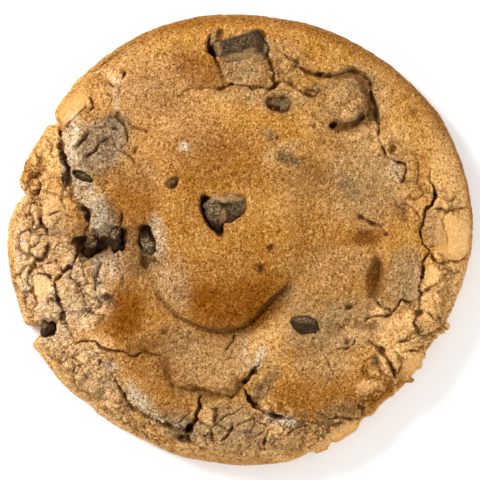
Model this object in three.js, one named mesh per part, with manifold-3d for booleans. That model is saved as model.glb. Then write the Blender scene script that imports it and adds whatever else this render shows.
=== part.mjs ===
// A chocolate chip cookie: one baked disc of dough and the chocolate that shows in its crust.
//
// Millimetres, +Z up. The origin is the middle of the flat underside. +X is called east and +Y north.
// The dough is one solid. Each piece of chocolate is its own solid and sits in a pocket of the dough.

import * as THREE from 'three';
import { mergeVertices } from 'three/addons/utils/BufferGeometryUtils.js';
import Module from 'manifold-3d';

// ---- Driving dimensions -------------------------------------------------------------------------

// Radius of the edge every 30 degrees, anticlockwise from east.
const EDGE_RADII = [50.3, 50.9, 49.6, 48.8, 49.4, 48.9, 50.0, 50.0, 48.3, 48.8, 48.6, 47.5];
// Places where the edge broke or did not spread: bearing in degrees, depth and half-width in mm.
const EDGE_NOTCHES = [
  { bearing: 204.5, depth: 3.4, halfWidth: 2.0 },
  { bearing: 151, depth: 1.6, halfWidth: 2.6 },
  { bearing: 170, depth: 1.0, halfWidth: 3.0 },
  { bearing: 311, depth: 1.2, halfWidth: 4.0 },
];

const MIDDLE_HEIGHT = 13.0; // the crust round the dome
const SHOULDER_HEIGHT = 11.6; // the crust where it turns down into the side
const SHOULDER_START = 0.83; // share of the radius where that turn begins
const BELLY_HEIGHT = 4.4; // the widest level of the side
const FOOT_INSET = 1.6; // how far the flat underside stays inside the widest level
const RING_CROWDING = 0.35; // how much closer the rings lie towards the edge, from 0 to 1
const SIDE_RINGS = 3; // rows of faces between the belly and the foot

const RINGS = 26; // rings of faces over the top; ring k has 6k corners
const POCKET_GAP = 0.3; // clearance between a piece of chocolate and its pocket

// The central plate rose last and pushed out over the crust south of it. It is the outline of a
// circle swept from its south end to its north end.
const DOME = {
  south: new THREE.Vector2(-3.2, -2.9),
  north: new THREE.Vector2(-0.6, 14.5),
  southRadius: 17.2,
  northRadius: 18.4,
  rise: 2.6,
  crown: 1.7, // further rise from its edge to its middle
  lip: 2.4, // how far the steep southern lip takes to fall
  lipTurn: [0.35, 0.75], // the side is gentle below the first share of due south, steep above the second
  fade: 13.0, // the same for the gentle sides
};

// Hills (positive rise) and hollows (negative), with half-lengths along and across their long axis.
const HILLS = [
  { x: -19.0, y: -29.5, along: 9.0, across: 5.0, turn: -35, rise: 2.0 }, // south-west hill
  { x: 11.5, y: -31.0, along: 8.5, across: 6.5, turn: 20, rise: 2.3 }, // south-east hill
  { x: -25.5, y: -17.0, along: 6.5, across: 5.0, turn: 60, rise: 1.6 }, // west hill
  { x: -31.5, y: -11.0, along: 4.0, across: 6.5, turn: 0, rise: 1.2 }, // hill over a buried chip
  { x: -29.5, y: 20.5, along: 6.0, across: 5.0, turn: 40, rise: 1.3 }, // north-west hill
  { x: 22.8, y: 29.0, along: 4.2, across: 3.8, turn: 0, rise: 1.9 }, // ball of dough in the pit
  { x: 26.5, y: 29.0, along: 7.5, across: 7.0, turn: 0, rise: -2.6 }, // the pit round it
  { x: 34.0, y: -6.5, along: 4.6, across: 6.6, turn: 0, rise: 1.4 }, // east hill over a chip
  { x: 28.8, y: -8.0, along: 2.4, across: 6.0, turn: -8, rise: -1.8 }, // hollow beside it
  { x: 21.0, y: -8.5, along: 11.0, across: 5.0, turn: 40, rise: 1.1 }, // south-east shoulder
  { x: 24.0, y: 10.0, along: 8.0, across: 8.0, turn: 0, rise: 0.9 }, // east shoulder
  { x: 1.5, y: 38.5, along: 6.5, across: 5.5, turn: 0, rise: 1.6 }, // north hill under the chunk
  { x: -18.0, y: -4.0, along: 4.0, across: 7.0, turn: 0, rise: -1.3 }, // low ground west of the dome
  { x: -28.0, y: 0.0, along: 6.0, across: 4.0, turn: 20, rise: -2.0 }, // torn hollow in the west
  { x: -2.0, y: -26.0, along: 12.0, across: 3.4, turn: 0, rise: -0.6 }, // ledge below the dome
];

// Long splits in the crust: points along each, depth and half-width.
const CREASES = [
  { depth: 1.5, halfWidth: 1.8, points: [[-8.9, 32.7], [0, 33.1], [6.7, 32.7], [16.0, 31.6]] },
  { depth: 1.4, halfWidth: 1.7, points: [[-6.4, 41.9], [-5.8, 39.0], [-4.0, 36.0], [-2.6, 33.1]] },
  {
    depth: 1.7, halfWidth: 1.9,
    points: [[16.9, 35.3], [24.9, 35.9], [28.6, 29.0], [30.3, 21.4], [35.5, 16.0], [35.1, 11.9]],
  },
  {
    depth: 1.6, halfWidth: 1.8,
    points: [[41.3, 11.3], [39.4, 1.7], [40.5, -2.4], [39.1, -8.9], [38.9, -15.8]],
  },
  { depth: 1.1, halfWidth: 1.7, points: [[29.4, -13.0], [32.7, -15.4], [34.9, -13.0], [38.5, -12.3]] },
  {
    depth: 1.3, halfWidth: 1.9,
    points: [[-14.5, -26.2], [-11.9, -32.0], [-6.5, -32.9], [-0.6, -31.8], [4.1, -25.8]],
  },
  {
    depth: 1.3, halfWidth: 1.8,
    points: [[-35.3, -22.3], [-32.5, -21.2], [-28.4, -23.8], [-20.4, -23.6], [-14.5, -26.2]],
  },
  {
    depth: 2.4, halfWidth: 2.0,
    points: [[-38.8, 24.7], [-38.1, 16.7], [-35.7, 10.2], [-32.5, 6.3], [-34.1, 0.2], [-39.4, -8.2]],
  },
  { depth: 1.9, halfWidth: 1.9, points: [[-39.4, -8.2], [-39.0, -14.3], [-36.8, -19.3], [-35.3, -22.3]] },
  { depth: 2.0, halfWidth: 1.8, points: [[-8.4, -35.6], [-10.8, -40.3], [-12.0, -43.0]] },
];

// Chocolate drops: place of the middle, sizes before sinking, how far the highest point stands above
// the dough there, and how the drop lies. lean tips its point away from straight up, towards bearing.
const DROPS = [
  { name: 'chip_centre', x: -3.2, y: 6.1, radius: 4.7, height: 6.2, proud: 1.5, lean: 168, bearing: 40 },
  { name: 'chip_north_east', x: 8.2, y: 29.2, radius: 3.6, height: 5.0, proud: 0.9, lean: 174, bearing: 80 },
  { name: 'chip_south', x: 13.9, y: -18.2, radius: 4.0, height: 5.6, proud: 1.3, lean: 168, bearing: 250 },
  { name: 'chip_west_inner', x: -19.9, y: -0.4, radius: 3.4, height: 4.8, proud: 1.2, lean: 25, bearing: 120 },
  { name: 'chip_west_small', x: -14.5, y: 12.3, radius: 3.2, height: 4.6, proud: 1.0, lean: 12, bearing: 300 },
  { name: 'chip_north_west', x: -32.9, y: 13.8, radius: 3.2, height: 4.4, proud: 0.9, lean: 78, bearing: 60 },
  { name: 'chip_west_edge', x: -40.6, y: -19.0, radius: 2.9, height: 4.2, proud: 0.8, lean: 60, bearing: 20 },
  { name: 'chip_south_low', x: 5.6, y: -32.6, radius: 4.0, height: 5.2, proud: 0.9, lean: 80, bearing: 30 },
  { name: 'chip_south_west', x: -10.6, y: -39.8, radius: 2.6, height: 3.8, proud: 0.8, lean: 40, bearing: 200 },
];
const DROP_SEGMENTS = 12;
const DROP_EDGE = 0.16; // rounding of a drop's base edge, as a share of its radius
const DROP_LEVELS = [0.35, 0.6, 0.82]; // levels of its side between base and point
const DROP_TAPER = 2.2; // 1 for a cone, more for a fuller side

// The chopped chunk: a bar with broken faces.
const CHUNK = { name: 'chunk_north', x: 0.4, y: 41.2, length: 11.0, width: 6.6, height: 5.2, proud: 0.9, turn: 8 };
const CHUNK_CHAMFER = 0.9;

// Chocolate that melted in the torn hollow and set again: lumps that ran together.
const MELT = {
  name: 'melted_chocolate_west',
  proud: 0.9,
  lumps: [
    { x: -26.2, y: 0.4, radius: 3.2 },
    { x: -29.0, y: -0.8, radius: 2.9 },
    { x: -31.6, y: -2.0, radius: 2.2 },
  ],
};

// ---- The surface of the dough -------------------------------------------------------------------

const radians = THREE.MathUtils.degToRad;
const { clamp, smoothstep } = THREE.MathUtils;

/** Radius of the edge at a bearing: a smooth closed curve through EDGE_RADII, less the notches. */
function edgeRadius(bearing) {
  const count = EDGE_RADII.length;
  const place = ((bearing / (2 * Math.PI)) * count + count) % count;
  const i = Math.floor(place);
  const t = place - i;
  const [before, from, to, after] = [i - 1, i, i + 1, i + 2].map((k) => EDGE_RADII[(k + count) % count]);
  const smooth = from + 0.5 * t * (to - before
    + t * (2 * before - 5 * from + 4 * to - after + t * (3 * (from - to) + after - before)));
  return EDGE_NOTCHES.reduce((radius, notch) => {
    const turn = bearing - radians(notch.bearing);
    const along = Math.atan2(Math.sin(turn), Math.cos(turn)) * radius;
    return radius - notch.depth * Math.exp(-((along / notch.halfWidth) ** 2));
  }, smooth);
}

/** Height that the central plate adds at a point. */
function domeRise(point) {
  const axis = DOME.north.clone().sub(DOME.south);
  const t = clamp(point.clone().sub(DOME.south).dot(axis) / axis.lengthSq(), 0, 1);
  const nearest = DOME.south.clone().addScaledVector(axis, t);
  const radius = THREE.MathUtils.lerp(DOME.southRadius, DOME.northRadius, t);
  const away = point.clone().sub(nearest);
  const inside = radius - away.length();
  const southward = smoothstep(-away.y / Math.max(away.length(), 1), ...DOME.lipTurn);
  const run = THREE.MathUtils.lerp(DOME.fade, DOME.lip, southward);
  const start = THREE.MathUtils.lerp(-run / 2, 0, southward);
  const crown = DOME.crown * Math.max(0, 1 - (away.length() / radius) ** 2);
  return DOME.rise * smoothstep(inside, start, start + run) + crown;
}

/** Height that a hill adds at a point. */
function hillRise(hill, point) {
  const offset = point.clone().sub(new THREE.Vector2(hill.x, hill.y));
  offset.rotateAround(new THREE.Vector2(), -radians(hill.turn));
  return hill.rise * Math.exp(-((offset.x / hill.along) ** 2) - (offset.y / hill.across) ** 2);
}

const creaseCurves = CREASES.map((crease) => ({
  ...crease,
  line: new THREE.SplineCurve(crease.points.map(([x, y]) => new THREE.Vector2(x, y)))
    .getSpacedPoints(12 * crease.points.length),
}));

/** Height that a crease takes away at a point. */
function creaseDepth(crease, point) {
  const distance = Math.min(...crease.line.map((q) => q.distanceTo(point)));
  return crease.depth * Math.exp(-((distance / crease.halfWidth) ** 2));
}

/** Height of the crust at a point (x, y) inside the edge. */
function crustHeight(x, y) {
  const point = new THREE.Vector2(x, y);
  const share = clamp(point.length() / edgeRadius(Math.atan2(y, x)), 0, 1);
  let height = THREE.MathUtils.lerp(MIDDLE_HEIGHT, SHOULDER_HEIGHT, share * share) + domeRise(point);
  height += HILLS.reduce((sum, hill) => sum + hillRise(hill, point), 0);
  height -= creaseCurves.reduce((deepest, crease) => Math.max(deepest, creaseDepth(crease, point)), 0);
  const turn = clamp((share - SHOULDER_START) / (1 - SHOULDER_START), 0, 1);
  return BELLY_HEIGHT + (height - BELLY_HEIGHT) * Math.sqrt(1 - turn * turn);
}

/** The dough before its pockets are cut: rings over the top, the rounded side and the flat foot. */
function doughGeometry() {
  const positions = [];
  const faces = [];
  const rings = [[0]];
  positions.push(0, 0, crustHeight(0, 0));

  const addRing = (count, place) => {
    const ring = [];
    for (let j = 0; j < count; j += 1) {
      ring.push(positions.length / 3);
      positions.push(...place((2 * Math.PI * j) / count));
    }
    rings.push(ring);
  };

  for (let k = 1; k <= RINGS; k += 1) {
    const share = THREE.MathUtils.lerp(k / RINGS, Math.sin((Math.PI / 2) * (k / RINGS)), RING_CROWDING);
    addRing(6 * k, (bearing) => {
      const radius = share * edgeRadius(bearing);
      const [x, y] = [radius * Math.cos(bearing), radius * Math.sin(bearing)];
      return [x, y, crustHeight(x, y)];
    });
  }
  for (let k = 1; k <= SIDE_RINGS; k += 1) {
    const turn = (Math.PI / 2) * (k / SIDE_RINGS);
    addRing(6 * RINGS, (bearing) => {
      const radius = edgeRadius(bearing) - FOOT_INSET * (1 - Math.cos(turn));
      return [radius * Math.cos(bearing), radius * Math.sin(bearing), BELLY_HEIGHT * (1 - Math.sin(turn))];
    });
  }

  for (let k = 1; k <= RINGS; k += 1) {
    const [inner, outer] = [rings[k - 1], rings[k]];
    for (let sector = 0; sector < 6; sector += 1) {
      for (let j = 0; j < k; j += 1) {
        const a = outer[sector * k + j];
        const b = outer[(sector * k + j + 1) % outer.length];
        const c = inner[(sector * (k - 1) + j) % inner.length];
        faces.push(c, a, b);
        if (j < k - 1) faces.push(c, b, inner[(sector * (k - 1) + j + 1) % inner.length]);
      }
    }
  }
  for (let k = RINGS; k < RINGS + SIDE_RINGS; k += 1) {
    const [upper, lower] = [rings[k], rings[k + 1]];
    upper.forEach((a, j) => {
      const next = (j + 1) % upper.length;
      faces.push(a, lower[j], lower[next], a, lower[next], upper[next]);
    });
  }
  const foot = rings[rings.length - 1];
  const middle = positions.length / 3;
  positions.push(0, 0, 0);
  foot.forEach((a, j) => faces.push(middle, foot[(j + 1) % foot.length], a));

  const geometry = new THREE.BufferGeometry();
  geometry.setAttribute('position', new THREE.Float32BufferAttribute(positions, 3));
  geometry.setIndex(faces);
  return geometry;
}

// ---- The chocolate ------------------------------------------------------------------------------

/** A drop standing on its flat base, its middle at the origin. grow makes the pocket for it. */
function dropGeometry({ radius, height }, grow) {
  const r = radius + grow;
  const low = -height / 2 - grow;
  const high = height / 2 + grow;
  const edge = r * DROP_EDGE;
  const profile = [new THREE.Vector2(0, low), new THREE.Vector2(r - edge, low), new THREE.Vector2(r, low + edge)];
  for (const level of DROP_LEVELS) {
    profile.push(new THREE.Vector2(r * (1 - level ** DROP_TAPER), low + (high - low) * level));
  }
  profile.push(new THREE.Vector2(0, high));
  return new THREE.LatheGeometry(profile, DROP_SEGMENTS);
}

/** The chopped chunk, its middle at the origin. */
function chunkGeometry(grow) {
  const [halfLength, halfWidth] = [CHUNK.length / 2 + grow, CHUNK.width / 2 + grow];
  const cut = CHUNK_CHAMFER;
  const outline = new THREE.Shape([
    new THREE.Vector2(-halfLength, -halfWidth * 0.55),
    new THREE.Vector2(-halfLength * 0.62, -halfWidth),
    new THREE.Vector2(halfLength * 0.9, -halfWidth * 0.86),
    new THREE.Vector2(halfLength, halfWidth * 0.3),
    new THREE.Vector2(halfLength * 0.55, halfWidth),
    new THREE.Vector2(-halfLength * 0.5, halfWidth * 0.62),
    new THREE.Vector2(-halfLength, halfWidth * 0.1),
  ]);
  const depth = CHUNK.height + 2 * grow - 2 * cut;
  const geometry = new THREE.ExtrudeGeometry(outline, {
    depth, bevelThickness: cut, bevelSize: cut, bevelOffset: -cut, bevelSegments: 1,
  });
  return geometry.translate(0, 0, -depth / 2);
}

const wasm = await Module();
wasm.setup();

/** A closed geometry as a solid that can be joined and cut. */
function solidOf(geometry) {
  const bare = geometry.clone();
  bare.deleteAttribute('normal');
  bare.deleteAttribute('uv');
  const merged = mergeVertices(bare, 1e-4);
  return new wasm.Manifold(new wasm.Mesh({
    numProp: 3,
    vertProperties: merged.attributes.position.array,
    triVerts: new Uint32Array(merged.index.array),
  }));
}

/** A solid as a geometry again. */
function geometryOf(solid) {
  const { vertProperties, triVerts } = solid.getMesh();
  const geometry = new THREE.BufferGeometry();
  geometry.setAttribute('position', new THREE.BufferAttribute(vertProperties, 3));
  geometry.setIndex(new THREE.BufferAttribute(triVerts, 1));
  return geometry;
}

/** The lumps of melted chocolate, run together into one solid. */
function meltSolid(grow) {
  return MELT.lumps
    .map(({ x, y, radius }) => {
      const lump = new THREE.SphereGeometry(radius + grow, 12, 8);
      lump.translate(x, y, crustHeight(x, y) + MELT.proud - radius);
      return solidOf(lump);
    })
    .reduce((joined, lump) => joined.add(lump));
}

/** Where a piece of chocolate lies: turned as stated, its highest point standing proud of the crust. */
function seat(geometry, { x, y, proud }, rotation) {
  const turned = new THREE.Matrix4().makeRotationFromQuaternion(rotation);
  const box = new THREE.Box3().setFromBufferAttribute(geometry.clone().applyMatrix4(turned).attributes.position);
  const position = new THREE.Vector3(x, y, crustHeight(x, y) + proud - box.max.z);
  return new THREE.Matrix4().compose(position, rotation, new THREE.Vector3(1, 1, 1));
}

/** The turn that tips a drop's point away from +Z by lean, towards bearing. */
function leanOf({ lean, bearing }) {
  const axis = new THREE.Vector3(-Math.sin(radians(bearing)), Math.cos(radians(bearing)), 0);
  return new THREE.Quaternion().setFromAxisAngle(axis, radians(lean));
}

// ---- Materials ----------------------------------------------------------------------------------

const doughMaterial = new THREE.MeshStandardMaterial({ color: 0xc28a4a, roughness: 0.85, metalness: 0 });
const chocolateMaterial = new THREE.MeshStandardMaterial({ color: 0x3d2617, roughness: 0.45, metalness: 0 });

// ---- Assembly -----------------------------------------------------------------------------------

const cookie = new THREE.Group();
const pockets = [];

/** Adds one piece of chocolate, placed by its own matrix, and notes the pocket it needs. */
function addChocolate(name, geometryFor, place) {
  const mesh = new THREE.Mesh(geometryFor(0), chocolateMaterial);
  mesh.name = name;
  mesh.applyMatrix4(place);
  cookie.add(mesh);
  pockets.push(solidOf(geometryFor(POCKET_GAP).applyMatrix4(place)));
}

for (const drop of DROPS) {
  addChocolate(drop.name, (grow) => dropGeometry(drop, grow), seat(dropGeometry(drop, 0), drop, leanOf(drop)));
}

const chunkTurn = new THREE.Quaternion().setFromAxisAngle(new THREE.Vector3(0, 0, 1), radians(CHUNK.turn));
addChocolate(CHUNK.name, chunkGeometry, seat(chunkGeometry(0), CHUNK, chunkTurn));

const melt = new THREE.Mesh(geometryOf(meltSolid(0)), chocolateMaterial);
melt.name = MELT.name;
cookie.add(melt);
pockets.push(meltSolid(POCKET_GAP));

const dough = new THREE.Mesh(
  geometryOf(pockets.reduce((solid, pocket) => solid.subtract(pocket), solidOf(doughGeometry()))),
  doughMaterial,
);
dough.name = 'cookie';
cookie.add(dough);

// The middle of the outline lies at the origin.
const box = new THREE.Box3().setFromObject(cookie);
const middle = box.getCenter(new THREE.Vector3());
cookie.position.set(-middle.x, -middle.y, -box.min.z);

export default cookie;
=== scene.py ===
"""A chocolate chip cookie: the baked dough, the chocolate in its crust, its specks and its crumbs.

Places and sizes in the tables are in millimetres, from the middle of the flat underside: +X is east,
+Y is north and +Z is up. Bearings and turns are in degrees, anticlockwise from east. Meshes are in
metres, as the frame is.
"""

import itertools
import logging
import math
from dataclasses import dataclass
from enum import Enum
from typing import Sequence

import bmesh
import bpy
import numpy as np
from mathutils import Matrix, Vector


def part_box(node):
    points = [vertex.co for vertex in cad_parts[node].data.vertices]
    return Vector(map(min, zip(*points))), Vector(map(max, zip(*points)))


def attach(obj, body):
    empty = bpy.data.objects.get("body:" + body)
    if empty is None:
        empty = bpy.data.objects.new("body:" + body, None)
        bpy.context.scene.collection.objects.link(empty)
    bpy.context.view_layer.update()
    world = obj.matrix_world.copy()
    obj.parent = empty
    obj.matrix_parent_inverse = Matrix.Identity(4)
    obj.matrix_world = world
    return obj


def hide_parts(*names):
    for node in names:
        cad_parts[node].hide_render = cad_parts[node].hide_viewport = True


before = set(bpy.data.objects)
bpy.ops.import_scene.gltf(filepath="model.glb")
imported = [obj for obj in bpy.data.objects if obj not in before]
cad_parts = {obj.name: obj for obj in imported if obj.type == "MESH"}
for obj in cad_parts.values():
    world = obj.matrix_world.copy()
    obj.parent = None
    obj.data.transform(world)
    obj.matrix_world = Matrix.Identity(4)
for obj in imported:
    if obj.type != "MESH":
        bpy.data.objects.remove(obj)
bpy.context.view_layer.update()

MM = 0.001
BODY = "root"
Point = tuple[float, float]
log = logging.getLogger("cookie")


# ---- Noise and soft edges ------------------------------------------------------------------------


def smooth_step(values: np.ndarray, low: float, high: float) -> np.ndarray:
    """Values as 0 below low, 1 above high and a soft rise between.

    Args:
        values: the numbers to turn.
        low: where the rise starts.
        high: where it ends. It may be under low, which turns the rise round.

    Returns:
        Numbers from 0 to 1.
    """
    t = np.clip((values - low) / (high - low), 0.0, 1.0)
    return t * t * (3.0 - 2.0 * t)


def hashed(cells: np.ndarray, seed: int) -> np.ndarray:
    """A number from 0 to 1 for each cell of a lattice, the same in every run.

    Args:
        cells: whole numbers, three to a row.
        seed: which set of numbers.

    Returns:
        One number for each row.
    """
    x, y, z = (cells[..., axis].astype(np.int64) for axis in range(3))
    mixed = (x * 73856093 ^ y * 19349663 ^ z * 83492791 ^ (seed + 1) * 2654435761) & 0xFFFFFFFF
    for _ in range(2):
        mixed = ((mixed >> 16) ^ mixed) * 0x45D9F3B & 0xFFFFFFFF
    return ((mixed >> 16) ^ mixed) / 0xFFFFFFFF


def lumpy(points: np.ndarray, size: float, seed: int, octaves: int = 1) -> np.ndarray:
    """Smooth noise from -1 to 1.

    Args:
        points: places, three numbers to a row.
        size: the distance between lumps.
        seed: which noise.
        octaves: how many sizes are added, each half the one before.

    Returns:
        One number for each place.
    """
    total = np.zeros(len(points))
    for octave in range(octaves):
        scaled = points / (size * 0.5**octave)
        low = np.floor(scaled).astype(np.int64)
        t = scaled - low
        t = t * t * (3.0 - 2.0 * t)
        value = np.zeros(len(points))
        for corner in itertools.product((0, 1), repeat=3):
            weight = np.prod(np.where(corner, t, 1.0 - t), axis=-1)
            value += weight * hashed(low + np.array(corner), seed + 17 * octave)
        total += 0.5**octave * (2.0 * value - 1.0)
    return total


@dataclass(frozen=True)
class Clumps:
    """How places fall into clumps: distances count in clump sizes, and number tells clumps apart."""

    nearest: np.ndarray
    second: np.ndarray
    number: np.ndarray
    lean: np.ndarray

    @classmethod
    def over(cls, points: np.ndarray, size: float, seed: int) -> "Clumps":
        """Sorts places into clumps.

        Args:
            points: places, three numbers to a row.
            size: the size of a clump.
            seed: which clumps.

        Returns:
            The clumps at those places.
        """
        scaled = points / size
        low = np.floor(scaled).astype(np.int64)
        nearest = np.full(len(points), 9.0)
        second = nearest.copy()
        number, lean = np.zeros(len(points)), np.zeros(len(points))
        for corner in itertools.product((-1, 0, 1), repeat=3):
            cell = low + np.array(corner)
            middle = cell + np.stack([hashed(cell, seed + axis) for axis in range(3)], axis=-1)
            away = np.linalg.norm(middle - scaled, axis=-1)
            closer = away < nearest
            second = np.where(closer, nearest, np.minimum(second, away))
            own = hashed(cell, seed + 3)
            number = np.where(closer, own, number)
            angle = 2.0 * np.pi * hashed(cell, seed + 4)
            slope = (scaled - middle)[:, 0] * np.cos(angle) + (scaled - middle)[:, 1] * np.sin(angle)
            lean = np.where(closer, slope, lean)
            nearest = np.minimum(nearest, away)
        return cls(nearest, second, number, lean)


@dataclass(frozen=True)
class Breakage:
    """How a surface breaks into leaning flakes of one size, with gaps between some of them."""

    size: float
    step: float
    lean: float
    gap: float
    gap_width: float
    closed: float
    warp: float
    seed: int

    def over(self, points: np.ndarray) -> tuple[np.ndarray, np.ndarray, np.ndarray]:
        """Breaks the surface at points.

        Args:
            points: places, three numbers to a row.

        Returns:
            How far each point rises, how deep in a gap it is (0 to 1), and its flake's number.
        """
        moved = points.copy()
        for axis in range(3):
            moved[:, axis] += self.warp * self.size * lumpy(points, 0.8 * self.size, self.seed + axis, 2)
        flakes = Clumps.over(moved, self.size, self.seed + 10)
        shut = smooth_step(lumpy(points, 1.7 * self.size, self.seed + 5), self.closed, self.closed - 0.5)
        gap = smooth_step(flakes.second - flakes.nearest, self.gap_width, 0.0) * shut
        rise = self.step * (flakes.number - 0.5) + self.lean * flakes.lean - self.gap * gap
        return rise, gap, flakes.number


# ---- Places on the crust -------------------------------------------------------------------------


@dataclass(frozen=True)
class Patch:
    """An oval place on the crust, with half-lengths along and across its long axis."""

    x: float
    y: float
    along: float
    across: float
    turn: float = 0.0
    amount: float = 1.0

    def reach(self, places: np.ndarray) -> np.ndarray:
        """Distance of places (x, y) from the middle, counted so that the oval's edge is at 1."""
        angle = math.radians(self.turn)
        x, y = places[:, 0] - self.x, places[:, 1] - self.y
        along = (x * math.cos(angle) + y * math.sin(angle)) / self.along
        across = (y * math.cos(angle) - x * math.sin(angle)) / self.across
        return np.hypot(along, across)

    def bell(self, places: np.ndarray) -> np.ndarray:
        """The amount in the middle, fading softly outwards."""
        return self.amount * np.exp(-self.reach(places) ** 2)

    def ball(self, places: np.ndarray) -> np.ndarray:
        """The amount in the middle, rounded like half a ball with a sharp foot."""
        return self.amount * np.sqrt(np.clip(1.0 - self.reach(places) ** 2, 0.0, 1.0))

    def plate(self, places: np.ndarray, edge: float = 0.25) -> np.ndarray:
        """The amount all over the oval, fading over a share of its size at the edge."""
        return self.amount * smooth_step(self.reach(places), 1.0 + edge, 1.0 - edge)


def most(patches: Sequence[Patch], places: np.ndarray, edge: float = 0.45) -> np.ndarray:
    """The largest amount of any patch at each place.

    Args:
        patches: the patches.
        places: x and y, two to a row.
        edge: how soft their edges are.

    Returns:
        One amount for each place.
    """
    amounts = np.zeros(len(places))
    for patch in patches:
        amounts = np.maximum(amounts, patch.plate(places, edge))
    return amounts


@dataclass(frozen=True)
class Split:
    """A crack in the crust along a line of points, with its half-width and depth.

    Its sides are steep where slope is small, and run out softly where it is over 1.
    """

    points: tuple[Point, ...]
    width: float
    depth: float
    curl: float = 0.18
    slope: float = 0.4

    def nearest(self, places: np.ndarray) -> tuple[np.ndarray, np.ndarray]:
        """How near places come to the line.

        Args:
            places: x and y, two to a row.

        Returns:
            The distance to the line, and how far along the line that is, from 0 to 1.
        """
        corners = np.array(self.points)
        lengths = np.linalg.norm(np.diff(corners, axis=0), axis=1)
        starts = np.concatenate([[0.0], np.cumsum(lengths)])
        best = np.full(len(places), 1e9)
        share = np.zeros(len(places))
        for start, end, length, before in zip(corners[:-1], corners[1:], lengths, starts):
            t = np.clip((places - start) @ (end - start) / length**2, 0.0, 1.0)
            away = np.linalg.norm(places - (start + t[:, None] * (end - start)), axis=1)
            closer = away < best
            best = np.where(closer, away, best)
            share = np.where(closer, (before + t * length) / starts[-1], share)
        return best, share

    def cut(self, places: np.ndarray, wander: np.ndarray) -> np.ndarray:
        """How far the crack lowers the crust. Its edges curl up a little.

        Args:
            places: x and y, two to a row.
            wander: noise from -1 to 1 that makes the width uneven.

        Returns:
            Depth at each place, below 0 where the edge stands up.
        """
        corners = np.array(self.points)
        margin = 4.0 * self.width
        near = np.all((places > corners.min(0) - margin) & (places < corners.max(0) + margin), axis=1)
        depth = np.zeros(len(places))
        if not near.any():
            return depth
        away, share = self.nearest(places[near])
        ends = np.minimum(smooth_step(share, -0.02, 0.14), smooth_step(share, 1.02, 0.86))
        width = self.width * (0.4 + 0.6 * ends) * np.clip(1.0 + 0.75 * wander[near], 0.45, 2.2)
        across = away / width
        trench = self.depth * (0.3 + 0.7 * ends) * np.clip(1.0 - across**2, 0.0, 1.0) ** self.slope
        edges = self.curl * ends * np.exp(-((away / self.width - 2.0) ** 2) / 1.2)
        depth[near] = trench * np.clip(1.0 + 0.5 * wander[near], 0.3, 1.5) - edges
        return depth


# ---- The shape of the dough ----------------------------------------------------------------------


@dataclass(frozen=True)
class Dome:
    """The central plate: a circle swept north, with a steep lip on its south side."""

    south: Point = (-3.2, -2.9)
    north: Point = (-0.6, 14.5)
    south_radius: float = 16.3
    north_radius: float = 18.4
    flat_bearing: float = -46.0
    flat_depth: float = 2.6
    flat_spread: float = 27.0
    rise: float = 2.8
    crown: float = 1.2
    lip: float = 0.9
    fade: float = 13.0
    groove: float = 0.8
    groove_width: float = 0.45
    overhang: float = 0.8

    def inside(self, places: np.ndarray) -> tuple[np.ndarray, np.ndarray, np.ndarray, np.ndarray]:
        """Where places lie on the plate.

        Args:
            places: x and y, two to a row.

        Returns:
            The distance inside its edge, the share of its radius, the direction outwards, and how
            steep its side is there, from 0 to 1.
        """
        south, north = np.array(self.south), np.array(self.north)
        axis = north - south
        t = np.clip((places - south) @ axis / (axis @ axis), 0.0, 1.0)
        out = places - (south + t[:, None] * axis)
        away = np.maximum(np.linalg.norm(out, axis=1), 1e-6)
        bearing = np.degrees(np.arctan2(out[:, 1], out[:, 0]))
        flat = self.flat_depth * np.exp(-(((bearing - self.flat_bearing) / self.flat_spread) ** 2))
        radius = self.south_radius + (self.north_radius - self.south_radius) * t - flat
        direction = out / away[:, None]
        steep = smooth_step(-direction[:, 1], 0.3, 0.62)
        return radius - away, away / radius, direction, steep

    def height(self, places: np.ndarray) -> np.ndarray:
        """How much the plate adds to the height, with the groove at its lip."""
        inside, share, _, steep = self.inside(places)
        gentle = smooth_step(inside, -0.5 * self.fade, 0.5 * self.fade)
        sharp = smooth_step(inside, -0.15, self.lip) * (0.8 + 0.2 * smooth_step(inside, 0.0, 3.5))
        crown = self.crown * np.clip(1.0 - share**2, 0.0, 1.0)
        groove = self.groove * steep * np.exp(-(((inside + 0.45) / self.groove_width) ** 2))
        return self.rise * (gentle + (sharp - gentle) * steep) + crown - groove

    def crease(self, places: np.ndarray) -> np.ndarray:
        """How deep in the crease under the lip places are, from 0 to 1, for the shadow painted there."""
        inside, _, direction, steep = self.inside(places)
        crisp = 0.35 + 0.65 * smooth_step(direction[:, 0], 0.1, 0.6)
        return crisp * steep * np.exp(-(((inside + 0.15) / 0.42) ** 2))

    def push(self, places: np.ndarray) -> np.ndarray:
        """How far the lip leans out over the crust, as x and y."""
        inside, _, direction, steep = self.inside(places)
        amount = self.overhang * steep * smooth_step(inside, 2.6, 0.25) * (inside > 0.1)
        return direction * amount[:, None]


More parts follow.
